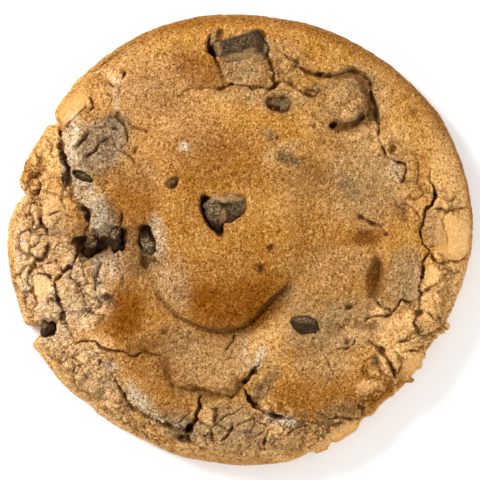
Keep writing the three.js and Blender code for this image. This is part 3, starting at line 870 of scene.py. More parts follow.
def take(piece: bpy.types.Object) -> None:
    """Makes a piece the only selected object and the active one."""
    bare()
    piece.select_set(True)
    bpy.context.view_layer.objects.active = piece


def finished(piece: bpy.types.Object, kind: str, **settings: object) -> None:
    """Adds a modifier to a piece and applies it.

    Args:
        piece: the piece.
        kind: the modifier's type.
        **settings: its settings by name.
    """
    take(piece)
    bpy.ops.object.modifier_add(type=kind)
    modifier = piece.modifiers[-1]
    for name, value in settings.items():
        setattr(modifier, name, value)
    bpy.ops.object.modifier_apply(modifier=modifier.name)


def settle(
    piece: bpy.types.Object, name: str, finish: bpy.types.Material, node: str | None
) -> None:
    """Names a finished piece, gives it its finish and ties it to the frame.

    Args:
        piece: the piece, with its place not yet applied.
        name: its name.
        finish: its material.
        node: the CAD node that it replaces, if there is one.
    """
    take(piece)
    bpy.ops.object.transform_apply(location=True, rotation=True, scale=True)
    piece.name = name
    piece.data.name = name
    piece.data.materials.clear()
    piece.data.materials.append(finish)
    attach(piece, BODY)
    if node:
        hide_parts(node)
    log.info("%s: %d faces", name, len(piece.data.polygons))


def joined(pieces: list[bpy.types.Object]) -> bpy.types.Object:
    """Joins pieces into one.

    Args:
        pieces: the pieces.

    Returns:
        The one piece.
    """
    bare()
    for piece in pieces:
        piece.select_set(True)
    bpy.context.view_layer.objects.active = pieces[0]
    bpy.ops.object.join()
    return bpy.context.active_object


def corners_of(mesh: bpy.types.Mesh) -> np.ndarray:
    """The vertices of a mesh, in millimetres."""
    flat = np.empty(len(mesh.vertices) * 3)
    mesh.vertices.foreach_get("co", flat)
    return flat.reshape(-1, 3) / MM


def move_corners(mesh: bpy.types.Mesh, points: np.ndarray) -> None:
    """Puts the vertices of a mesh at points in millimetres."""
    mesh.vertices.foreach_set("co", (points * MM).ravel())
    mesh.update()


def normals_of(mesh: bpy.types.Mesh) -> np.ndarray:
    """The vertex normals of a mesh."""
    flat = np.empty(len(mesh.vertices) * 3)
    mesh.vertex_normals.foreach_get("vector", flat)
    return flat.reshape(-1, 3)


class Part(Enum):
    """What is painted on a piece for its colour, each from 0 to 1."""

    BROWNED = "browned"
    TAN = "tan"
    PALE = "pale"
    WHITE = "white"
    STAINED = "stained"
    # Painted shade: deeper cracks, pits and sockets, and the crease under the dome's lip.
    DEEP = "deep"
    # Painted shade in the gaps between flakes and crumbs.
    GAP = "gap"
    TONE = "tone"
    WHOLE = "whole"
    FOOT = "foot"
    SMEARED = "smeared"
    # Bloom and dust on the chocolate, and painted highlights.
    DUSTED = "dust_and_highlight"


def paint(mesh: bpy.types.Mesh, part: Part, amounts: np.ndarray) -> None:
    """Stores an amount for each vertex, for the materials to read."""
    layer = mesh.attributes.new(part.value, "FLOAT", "POINT")
    layer.data.foreach_set("value", np.clip(amounts, 0.0, 1.0).astype(np.float32))


# ---- Finishes ------------------------------------------------------------------------------------


def colour(red: int, green: int, blue: int) -> tuple[float, float, float, float]:
    """A display colour, each part from 0 to 255, as the shaders count it."""
    parts = [part / 255.0 for part in (red, green, blue)]
    linear = [p / 12.92 if p <= 0.04045 else ((p + 0.055) / 1.055) ** 2.4 for p in parts]
    return (*linear, 1.0)


class Recipe:
    """A material's nodes, added one at a time."""

    def __init__(self, name: str) -> None:
        """Starts a material with a Principled shader.

        Args:
            name: the material's name.
        """
        self.material = bpy.data.materials.new(name)
        self.material.use_nodes = True
        self.tree = self.material.node_tree
        self.shader = self.tree.nodes["Principled BSDF"]
        self.place = self.tree.nodes.new("ShaderNodeTexCoord").outputs["Object"]

    def _set(self, socket: bpy.types.NodeSocket, value: object) -> None:
        """Links a socket, or sets its value."""
        if isinstance(value, bpy.types.NodeSocket):
            self.tree.links.new(value, socket)
        else:
            socket.default_value = value

    def constant(self, name: str, value: object) -> None:
        """Sets or links one of the shader's inputs by name."""
        self._set(self.shader.inputs[name], value)

    def amount(self, part: Part) -> bpy.types.NodeSocket:
        """The amount painted on the mesh."""
        node = self.tree.nodes.new("ShaderNodeAttribute")
        node.attribute_name = part.value
        return node.outputs["Fac"]

    def noise(self, size: float, detail: float = 2.0, rough: float = 0.5) -> bpy.types.NodeSocket:
        """Noise from about 0.2 to 0.8, with lumps of a size in millimetres."""
        node = self.tree.nodes.new("ShaderNodeTexNoise")
        self._set(node.inputs["Vector"], self.place)
        node.inputs["Scale"].default_value = 1.0 / (size * MM)
        node.inputs["Detail"].default_value = detail
        node.inputs["Roughness"].default_value = rough
        return node.outputs["Fac"]

    def grains(self, size: float) -> tuple[bpy.types.NodeSocket, bpy.types.NodeSocket]:
        """Grains of a size in millimetres: the distance from a grain's middle, and its own tone."""
        node = self.tree.nodes.new("ShaderNodeTexVoronoi")
        self._set(node.inputs["Vector"], self.place)
        node.inputs["Scale"].default_value = 1.0 / (size * MM)
        return node.outputs["Distance"], node.outputs["Color"]

    def between(
        self, value: object, low: float, high: float, start: float = 0.0, end: float = 1.0
    ) -> bpy.types.NodeSocket:
        """A value turned from low..high to start..end, softly and held at both ends."""
        node = self.tree.nodes.new("ShaderNodeMapRange")
        node.interpolation_type = "SMOOTHSTEP"
        self._set(node.inputs["Value"], value)
        for name, number in (("From Min", low), ("From Max", high), ("To Min", start), ("To Max", end)):
            node.inputs[name].default_value = number
        return node.outputs["Result"]

    def sum(self, kind: str, first: object, second: object) -> bpy.types.NodeSocket:
        """Two numbers put together by a kind of arithmetic, held between 0 and 1."""
        node = self.tree.nodes.new("ShaderNodeMath")
        node.operation = kind
        node.use_clamp = True
        self._set(node.inputs[0], first)
        self._set(node.inputs[1], second)
        return node.outputs["Value"]

    def patchy(self, part: Part, cover: object, breakup: float) -> bpy.types.NodeSocket:
        """The amount painted on the mesh, broken up by a share where the cover is low."""
        kept = self.between(cover, 0.34, 0.6, 1.0 - breakup, 1.0)
        return self.sum("MULTIPLY", self.amount(part), kept)

    def mix(self, share: object, first: object, second: object, kind: str = "MIX") -> bpy.types.NodeSocket:
        """Two colours mixed by a share from 0 to 1."""
        node = self.tree.nodes.new("ShaderNodeMix")
        node.data_type = "RGBA"
        node.blend_type = kind
        node.clamp_result = True
        self._set(node.inputs[0], share)
        self._set(node.inputs[6], first)
        self._set(node.inputs[7], second)
        return node.outputs[2]

    def bump(self, height: object, depth: float, after: object = None) -> bpy.types.NodeSocket:
        """Fine relief of a depth in millimetres, added to relief made before."""
        node = self.tree.nodes.new("ShaderNodeBump")
        node.inputs["Distance"].default_value = depth * MM
        self._set(node.inputs["Height"], height)
        if after is not None:
            self._set(node.inputs["Normal"], after)
        return node.outputs["Normal"]


@dataclass(frozen=True)
class BakedDough:
    """The finish of the dough: golden crust, browner and paler by place, finely granular, with shade
    painted in its cracks and gaps.
    """

    golden: tuple[int, int, int] = (192, 136, 64)
    amber: tuple[int, int, int] = (178, 119, 40)
    browned: tuple[int, int, int] = (126, 69, 2)
    tan: tuple[int, int, int] = (172, 134, 88)
    pale: tuple[int, int, int] = (240, 186, 118)
    white: tuple[int, int, int] = (220, 202, 176)
    stained: tuple[int, int, int] = (100, 80, 54)
    # Painted shade in the gaps between flakes and crumbs, and in shallow cracks.
    gap: tuple[int, int, int] = (104, 62, 20)
    # Painted shade at the bottom of deep cracks, pits and sockets.
    deep: tuple[int, int, int] = (50, 28, 8)
    foot: tuple[int, int, int] = (226, 176, 116)
    cream: tuple[int, int, int] = (224, 190, 142)
    # What the colour is multiplied by in dark and in light grains.
    dark_grain: tuple[float, float, float, float] = (0.38, 0.28, 0.09, 1.0)
    light_grain: tuple[float, float, float, float] = (1.5, 1.6, 1.8, 1.0)
    roughness: float = 0.85
    shine: float = 0.04

    def layered(self, r: Recipe, mottle: bpy.types.NodeSocket) -> bpy.types.NodeSocket:
        """The colour of the crust by place, with shade painted in the gaps between flakes.

        Args:
            r: the material.
            mottle: coarse noise that breaks up the edges of each colour.

        Returns:
            The colour, without its grains.
        """
        dust = r.noise(0.8, 3.0, 0.7)
        layers = (
            (self.amber, r.between(r.noise(7.0, 4.0, 0.6), 0.38, 0.62)),
            (self.foot, r.patchy(Part.FOOT, mottle, 0.3)),
            (self.tan, r.patchy(Part.TAN, mottle, 0.35)),
            (self.browned, r.patchy(Part.BROWNED, mottle, 0.2)),
            (self.pale, r.patchy(Part.PALE, mottle, 0.25)),
            (self.pale, r.between(r.amount(Part.TONE), 0.5, 0.85, 0.0, 0.7)),
            (self.stained, r.patchy(Part.STAINED, dust, 0.5)),
            (self.white, r.patchy(Part.WHITE, dust, 0.8)),
            # Painted shade in the gaps between flakes and crumbs.
            (self.gap, r.between(r.amount(Part.GAP), 0.1, 0.8, 0.0, 0.75)),
        )
        base = colour(*self.golden)
        for shade, share in layers:
            base = r.mix(share, base, colour(*shade))
        return base

    def grained(
        self,
        r: Recipe,
        base: bpy.types.NodeSocket,
        fine: bpy.types.NodeSocket,
        grain: bpy.types.NodeSocket,
        rough: bpy.types.NodeSocket,
    ) -> bpy.types.NodeSocket:
        """The colour with darker and lighter grains.

        Args:
            r: the material.
            base: the colour without grains.
            fine: fine noise.
            grain: the tone of each grain.
            rough: how rough the crust is, from 0 to 1.

        Returns:
            The colour with its grains.
        """
        darker = r.mix(1.0, base, self.dark_grain, "MULTIPLY")
        creamy = r.between(r.amount(Part.BROWNED), 0.2, 0.9, 0.4, 0.05)
        lighter = r.mix(creamy, r.mix(1.0, base, self.light_grain, "MULTIPLY"), colour(*self.cream))
        for cue, low, high, share, other in (
            (grain, 0.4, 0.08, 0.8, darker),
            (fine, 0.49, 0.34, 0.9, darker),
            (grain, 0.62, 0.95, 0.75, lighter),
            (fine, 0.54, 0.68, 0.6, lighter),
        ):
            base = r.mix(r.sum("MULTIPLY", rough, r.between(cue, low, high, 0.0, share)), base, other)
        return base

    def made(self) -> bpy.types.Material:
        """The material."""
        r = Recipe("baked_dough")
        mottle = r.noise(1.7, 4.0, 0.65)
        near, grain = r.grains(0.46)
        fine = r.noise(0.4, 2.0, 0.75)
        rough = r.between(r.amount(Part.WHOLE), 0.1, 0.9, 1.0, 0.35)
        base = self.grained(r, self.layered(r, mottle), fine, grain, rough)
        # Painted shade: by depth, cracks, pits, sockets and the crease under the lip turn brown, then near
        # black.
        deep = r.amount(Part.DEEP)
        base = r.mix(r.between(deep, 0.08, 0.4, 0.0, 0.7), base, colour(*self.gap))
        base = r.mix(r.between(deep, 0.3, 0.9, 0.0, 0.9), base, colour(*self.deep))
        r.constant("Base Color", base)
        r.constant("Roughness", self.roughness)
        r.constant("Specular IOR Level", self.shine)
        relief = r.bump(mottle, 0.4)
        relief = r.bump(r.between(near, 0.1, 0.8, 1.0, 0.0), 0.14, relief)
        relief = r.bump(r.sum("MULTIPLY", fine, rough), 0.3, relief)
        r.constant("Normal", relief)
        return r.material


@dataclass(frozen=True)
class DarkChocolate:
    """The finish of the chocolate: dark, dulled by bloom and smeared with dough, and pale where dust lies
    or highlights are painted.
    """

    name: str = "chocolate"
    dark: tuple[int, int, int] = (46, 30, 14)
    bloom: tuple[int, int, int] = (94, 68, 38)
    smear: tuple[int, int, int] = (170, 134, 88)
    # Pale grey-brown of bloom and dust, also used for painted highlights.
    dust: tuple[int, int, int] = (168, 148, 120)
    bloomed: float = 0.3
    roughness: float = 0.45
    dull_roughness: float = 0.8
    shine: float = 0.1

    def made(self) -> bpy.types.Material:
        """The material."""
        r = Recipe(self.name)
        mottle = r.noise(1.2, 4.0, 0.7)
        grain = r.noise(0.45, 2.0, 0.75)
        dull = r.sum("MULTIPLY", r.between(mottle, 0.42, 0.62), self.bloomed)
        # Where bloom and dust lie, and where highlights are painted.
        dust_and_highlight = r.sum("MULTIPLY", r.amount(Part.DUSTED), r.between(mottle, 0.3, 0.58, 0.3, 1.0))
        dull = r.sum("ADD", dull, r.sum("MULTIPLY", dust_and_highlight, 0.8))
        base = r.mix(dull, colour(*self.dark), colour(*self.bloom))
        base = r.mix(r.between(grain, 0.54, 0.7, 0.0, 0.5), base, colour(*self.bloom))
        base = r.mix(r.sum("MULTIPLY", dust_and_highlight, r.between(grain, 0.48, 0.6)), base, colour(*self.dust))
        smeared = r.sum("MULTIPLY", r.amount(Part.SMEARED), r.between(grain, 0.3, 0.5, 0.2, 1.0))
        base = r.mix(smeared, base, colour(*self.smear))
        r.constant("Base Color", base)
        covered = r.sum("ADD", dull, smeared)
        r.constant("Roughness", r.between(covered, 0.0, 0.6, self.roughness, self.dull_roughness))
        r.constant("Specular IOR Level", self.shine)
        relief = r.bump(mottle, 0.8)
        relief = r.bump(grain, 0.3, relief)
        r.constant("Normal", relief)
        return r.material


# ---- The dough -----------------------------------------------------------------------------------

# Where the crust is browned, with a few patches of painted shade in hollows, under a ledge and below a
# ball.
BROWNED = (
    Patch(0.5, -13.8, 10.5, 5.4, 30, 1.0),
    Patch(-4.5, -14.0, 8.0, 5.4, -25, 1.0),
    Patch(-2.0, -9.0, 12.5, 8.0, 12, 0.5),
    Patch(-2.0, 0.0, 11.0, 8.0, 12, 0.25),
    Patch(-9.0, 8.5, 3.6, 7.0, 8, 0.55),
    Patch(-4.0, 16.5, 12.0, 6.5, 10, 0.6),
    Patch(-9.0, 6.0, 7.0, 8.0, 0, 0.35),
    Patch(-9.5, 19.5, 7.5, 6.0, 20, 0.45),
    Patch(-5.0, 19.5, 4.6, 2.6, -10, 0.75),
    Patch(-8.6, 36.5, 6.5, 4.2, -25, 0.75),
    Patch(-16.5, 30.5, 9.0, 4.5, -28, 0.45),
    Patch(-25.0, -15.5, 6.4, 5.0, 70, 1.0),
    Patch(-23.5, 7.5, 5.6, 7.0, 0, 0.7),
    Patch(-18.5, -28.0, 9.0, 4.0, -28, 0.55),
    Patch(13.5, -34.0, 9.0, 5.0, 8, 0.55),
    # Painted shade under the ledge at the south-east edge.
    Patch(30.5, -33.0, 5.0, 1.9, 25, 0.9),
    # Painted shade in the east hollow and in the hollow under the slit.
    Patch(29.1, -8.2, 1.9, 4.6, -6, 0.8),
    Patch(27.2, 0.4, 3.6, 1.8, 8, 1.0),
    Patch(22.0, -3.0, 5.0, 8.0, 10, 0.3),
    Patch(15.0, 2.0, 6.0, 12.0, 0, 0.3),
    Patch(-27.0, 14.0, 4.0, 3.0, 0, 0.45),
    # Painted shadow below the ball in the north-east pit.
    Patch(25.4, 25.0, 3.0, 1.6, 15, 0.8),
    Patch(4.0, 12.0, 6.0, 5.0, 0, 0.25),
    Patch(-20.0, 3.0, 6.0, 12.0, 0, 0.35),
    Patch(-20.0, -20.0, 9.0, 6.0, 20, 0.4),
    Patch(-12.0, 0.0, 4.0, 10.0, 0, 0.3),
    Patch(-21.5, -21.0, 6.5, 5.0, 20, 0.35),
    Patch(20.5, -34.5, 6.0, 4.5, 15, 0.5),
    Patch(15.0, 12.5, 6.0, 4.5, 0, 0.5),
    Patch(-31.0, 3.0, 1.4, 4.4, 10, 0.5),
    Patch(-21.5, 4.0, 4.5, 12.0, 0, 0.75),
    Patch(-13.0, -13.0, 12.0, 4.0, 0, 0.4),
    Patch(29.0, -30.0, 5.0, 4.0, 30, 0.55),
    Patch(-13.0, -37.5, 4.0, 3.0, 0, 0.6),
    Patch(13.0, -23.5, 4.0, 2.5, 0, 0.35),
    Patch(-22.0, -4.0, 4.0, 5.0, 0, 0.6),
    Patch(4.0, -46.0, 8.0, 3.0, 0, 0.4),
    Patch(-10.0, -11.0, 5.0, 5.0, 0, 0.5),
)

# Where it is dull tan.
TAN = (
    Patch(-6.5, -25.5, 14.5, 6.6, -3, 0.8),
    Patch(27.5, 14.0, 9.5, 11.0, 0, 0.9),
    Patch(24.0, -18.0, 13.0, 5.5, 12, 1.0),
    Patch(17.5, -25.5, 7.0, 5.0, 0, 0.8),
    Patch(0.5, 35.8, 5.6, 3.6, 0, 1.0),
    Patch(6.0, 31.0, 11.0, 2.8, -4, 0.8),
    Patch(-14.5, -8.5, 4.5, 7.5, 22, 0.7),
    Patch(24.5, 29.0, 8.0, 7.5, 0, 0.85),
    Patch(9.0, 38.0, 6.0, 5.0, -25, 0.6),
    Patch(35.5, -8.5, 4.0, 6.5, 0, 1.0),
    Patch(-2.0, -39.5, 10.0, 5.4, 0, 0.85),
    Patch(-35.0, -29.0, 11.0, 7.0, -45, 0.5),
    Patch(12.0, 15.5, 5.0, 4.0, 0, 0.3),
    Patch(9.0, 19.0, 4.0, 1.8, 20, 0.8),
    Patch(-31.5, -8.5, 5.0, 8.5, 0, 0.7),
    Patch(12.0, -41.5, 8.0, 4.0, 8, 0.6),
    Patch(41.8, 3.0, 2.2, 4.4, 0, 0.9),
    Patch(-29.5, -32.0, 7.0, 3.4, -45, 0.8),
    Patch(-13.0, -39.0, 4.5, 3.4, -10, 0.9),
    Patch(21.0, -38.0, 5.0, 3.0, 20, 0.6),
    Patch(14.5, -21.5, 4.5, 3.4, 0, 0.7),
    Patch(21.0, -5.5, 9.0, 4.5, 10, 0.6),
    Patch(12.5, -13.0, 4.5, 4.0, 0, 0.7),
    Patch(-21.5, 13.0, 4.5, 4.0, 0, 0.6),
)

# Where it stayed pale.
PALE = (
    Patch(47.0, 0.2, 3.0, 5.0, 0, 1.0),
    Patch(43.4, -3.6, 1.4, 2.0, 0, 0.7),
    Patch(41.4, -7.8, 2.0, 3.0, -10, 0.9),
    Patch(43.0, -14.6, 3.6, 4.4, 0, 0.8),
    Patch(-36.2, 27.8, 4.4, 2.6, 48, 0.5),
    Patch(-43.0, -10.4, 3.4, 4.4, -5, 0.9),
    Patch(-47.2, 0.0, 3.2, 10.0, 0, 1.0),
    Patch(7.6, -41.4, 3.0, 2.0, -20, 1.0),
    Patch(-41.5, 20.0, 4.0, 8.0, 16, 0.9),
    Patch(-33.5, -10.5, 5.0, 7.0, 8, 0.85),
    Patch(-37.5, -24.5, 8.5, 5.5, -50, 0.85),
    Patch(-26.0, -38.6, 9.0, 4.0, -36, 0.5),
    Patch(-43.0, -14.0, 7.0, 9.0, 10, 1.0),
    Patch(-3.0, -45.8, 16.0, 2.6, 0, 0.45),
    Patch(47.0, 8.0, 3.0, 9.0, 8, 0.5),
    Patch(-37.0, -20.0, 4.0, 3.0, 0, 0.6),
    Patch(-24.0, -40.0, 9.0, 3.0, -28, 0.4),
    Patch(45.5, 10.0, 4.0, 12.0, 10, 0.8),
    Patch(36.0, 28.0, 6.0, 12.0, 40, 0.1),
    Patch(44.0, -12.0, 6.0, 9.0, -12, 1.0),
    Patch(38.0, -21.0, 8.0, 7.0, 20, 0.8),
    Patch(-40.6, 12.5, 3.4, 9.0, 10, 0.35),
    Patch(-37.6, 3.0, 4.6, 5.0, 30, 0.1),
    Patch(37.8, -25.4, 4.0, 4.4, 40, 0.7),
    Patch(27.5, -31.4, 2.4, 1.1, 0, 0.7),
    Patch(34.4, -20.0, 5.0, 4.0, 20, 0.8),
    Patch(-31.5, -22.6, 4.0, 1.8, 0, 0.6),
    Patch(6.4, -20.4, 6.0, 2.6, 38, 0.5),
    Patch(22.0, -41.8, 4.0, 2.2, 30, 0.7),
    Patch(21.6, 30.4, 2.6, 2.4, 0, 0.15),
    Patch(-45.8, -2.0, 5.0, 13.0, -2, 0.85),
    Patch(-24.0, 33.0, 6.0, 3.4, 34, 0.1),
    Patch(31.6, 22.6, 2.2, 2.8, 0, 0.15),
    Patch(12.0, 8.0, 7.0, 4.0, 20, 0.15),
    Patch(6.8, 17.4, 1.6, 2.2, -30, 0.5),
    Patch(6.0, -22.6, 7.0, 2.4, 38, 0.15),
)

# Where it is floury.
WHITE = (
    Patch(-21.6, -34.2, 4.2, 1.5, -48, 0.7),
    Patch(-18.6, -37.6, 3.0, 1.3, -40, 0.4),
    Patch(4.0, -25.2, 0.8, 2.6, -20, 0.8),
    Patch(-20.0, 30.0, 17.0, 11.0, -30, 0.12),
    Patch(-42.0, -6.0, 8.0, 14.0, 8, 0.34),
    Patch(-40.5, -17.0, 5.0, 8.0, 10, 0.5),
    Patch(-34.0, -28.0, 11.0, 7.0, -45, 0.25),
    Patch(-1.0, -42.0, 13.0, 4.0, 0, 0.15),
    Patch(-11.9, 19.9, 1.0, 1.1, 0, 0.8),
    Patch(-36.2, 19.6, 2.2, 7.4, -6, 0.85),
    Patch(-33.4, 10.8, 2.4, 6.0, 28, 0.8),
    Patch(-30.6, 5.0, 2.6, 5.0, 20, 0.7),
    Patch(-39.2, -13.4, 1.0, 4.4, 4, 0.9),
    Patch(-30.4, -8.4, 1.3, 4.4, 6, 0.9),
    Patch(-35.6, -9.0, 2.4, 5.6, 6, 0.55),
    Patch(-17.6, 0.8, 1.7, 4.4, 5, 0.6),
    Patch(-14.6, -9.6, 2.8, 5.6, 22, 0.14),
    Patch(-47.2, -2.0, 1.4, 4.4, 0, 0.7),
    Patch(-46.4, -10.6, 1.0, 4.4, -8, 0.9),
    Patch(-26.6, 34.0, 1.1, 1.7, 20, 0.5),
    Patch(-26.6, 30.4, 1.0, 3.0, 10, 0.4),
    Patch(-31.0, 25.0, 2.0, 1.0, 30, 0.5),
    Patch(-29.6, 20.6, 5.0, 6.4, -40, 0.3),
    Patch(-29.0, -6.0, 4.0, 3.0, 0, 0.4),
    Patch(-36.0, -13.0, 7.0, 6.0, 0, 0.5),
    Patch(9.0, -38.8, 4.0, 1.3, -18, 0.9),
    Patch(38.1, -8.2, 1.1, 5.0, 4, 0.25),
    Patch(-28.0, -27.2, 1.8, 1.3, 0, 0.8),
    Patch(-31.6, -24.6, 2.4, 1.2, 0, 0.5),
    Patch(0.8, -24.0, 1.3, 3.6, 10, 0.25),
    Patch(-12.0, -39.8, 3.0, 1.2, -15, 0.3),
    Patch(-33.6, -16.8, 2.2, 2.6, 0, 0.5),
    Patch(33.4, 14.6, 1.0, 3.0, 30, 0.4),
    Patch(-20.6, -0.6, 0.9, 1.7, 10, 0.8),
    Patch(5.8, 41.6, 0.6, 2.2, 20, 0.5),
)

# Where chocolate stained it, with a few patches of painted shade in hollows, a dent and round the ball in
# the north-east pit.
STAINED = (
    Patch(-29.6, 20.4, 5.2, 6.8, -40, 0.85),
    Patch(-27.0, 25.2, 3.4, 2.4, 10, 0.95),
    Patch(-31.6, 17.0, 3.4, 2.6, 30, 0.95),
    Patch(5.4, -31.4, 1.8, 4.6, -36, 0.75),
    Patch(15.2, -19.6, 7.0, 4.4, -16, 0.4),
    Patch(23.8, 11.0, 3.4, 2.0, -50, 0.6),
    Patch(26.5, 8.5, 6.0, 4.5, -30, 0.12),
    # Grey smear, and painted shade in the dent beside the ridge.
    Patch(10.4, 17.0, 2.8, 1.4, -8, 0.95),
    Patch(-28.2, 4.6, 2.2, 4.4, 25, 0.95),
    Patch(-29.0, -0.6, 6.4, 4.0, 10, 0.95),
    Patch(-20.0, -1.5, 2.4, 5.4, 8, 0.75),
    Patch(28.9, -26.0, 1.1, 1.3, 10, 0.85),
    Patch(33.5, -8.0, 4.4, 6.5, 0, 0.3),
    # Painted shade in the east hollow and in the hollow under the slit.
    Patch(29.2, -8.0, 1.6, 4.8, -6, 0.25),
    Patch(27.4, 0.2, 3.2, 1.4, 8, 0.25),
    Patch(-22.0, -2.5, 4.6, 7.0, 0, 0.5),
    Patch(12.0, 13.5, 6.0, 5.0, 0, 0.2),
    Patch(-0.3, 36.8, 4.6, 2.2, 0, 0.4),
    # Painted shadow below the ball in the north-east pit.
    Patch(24.8, 24.6, 3.2, 1.5, 20, 0.55),
    # Painted shade on the pit wall north and east of the ball.
    Patch(26.0, 34.6, 4.0, 2.4, -30, 0.55),
    Patch(28.2, 30.0, 1.4, 4.0, 10, 0.35),
    Patch(-20.5, -36.0, 6.0, 3.0, -45, 0.55),
    Patch(-13.0, -39.6, 4.2, 3.0, -20, 0.85),
    Patch(-7.0, -33.2, 8.0, 1.8, 0, 0.35),
    Patch(-2.0, -39.5, 8.0, 4.4, 0, 0.3),
    Patch(2.0, -45.5, 9.0, 2.4, 0, 0.2),
    Patch(8.2, 29.1, 3.2, 2.2, -6, 0.6),
    Patch(-24.5, -6.5, 3.0, 5.0, 20, 0.4),
    Patch(-38.5, -19.6, 3.0, 2.0, 0, 0.35),
    Patch(30.0, -20.0, 7.0, 2.0, 5, 0.25),
    Patch(6.7, 22.3, 1.8, 1.5, 0, 0.6),
    Patch(-15.2, -19.6, 2.0, 1.2, 0, 0.4),
    Patch(-5.5, 43.4, 1.4, 1.8, 0, 0.7),
    Patch(-36.0, -15.0, 3.0, 3.0, 0, 0.3),
    Patch(-28.9, -12.6, 2.0, 1.2, 0, 0.6),
    Patch(16.6, 32.6, 1.6, 1.2, 0, 0.7),
    Patch(12.0, 14.5, 3.5, 3.0, 0, 0.25),
    Patch(-13.0, -21.5, 3.5, 3.5, 0, 0.4),
    # Painted shadow below the ball in the north-east pit.
    Patch(26.0, 26.0, 1.8, 1.2, 20, 0.7),
    Patch(4.3, -6.4, 1.2, 0.8, 125, 0.8),
    Patch(6.5, -1.7, 0.8, 0.6, 60, 0.7),
    Patch(21.0, -38.0, 4.5, 2.6, 20, 0.5),
    Patch(14.0, -22.0, 4.0, 3.0, 0, 0.25),
    Patch(-11.5, -41.5, 3.0, 2.4, 0, 0.9),
    Patch(-39.0, 4.0, 3.0, 4.0, 0, 0.2),
    Patch(20.0, -13.0, 5.0, 3.0, 0, 0.3),
    Patch(-22.0, -4.5, 4.0, 4.5, 0, 0.65),
)


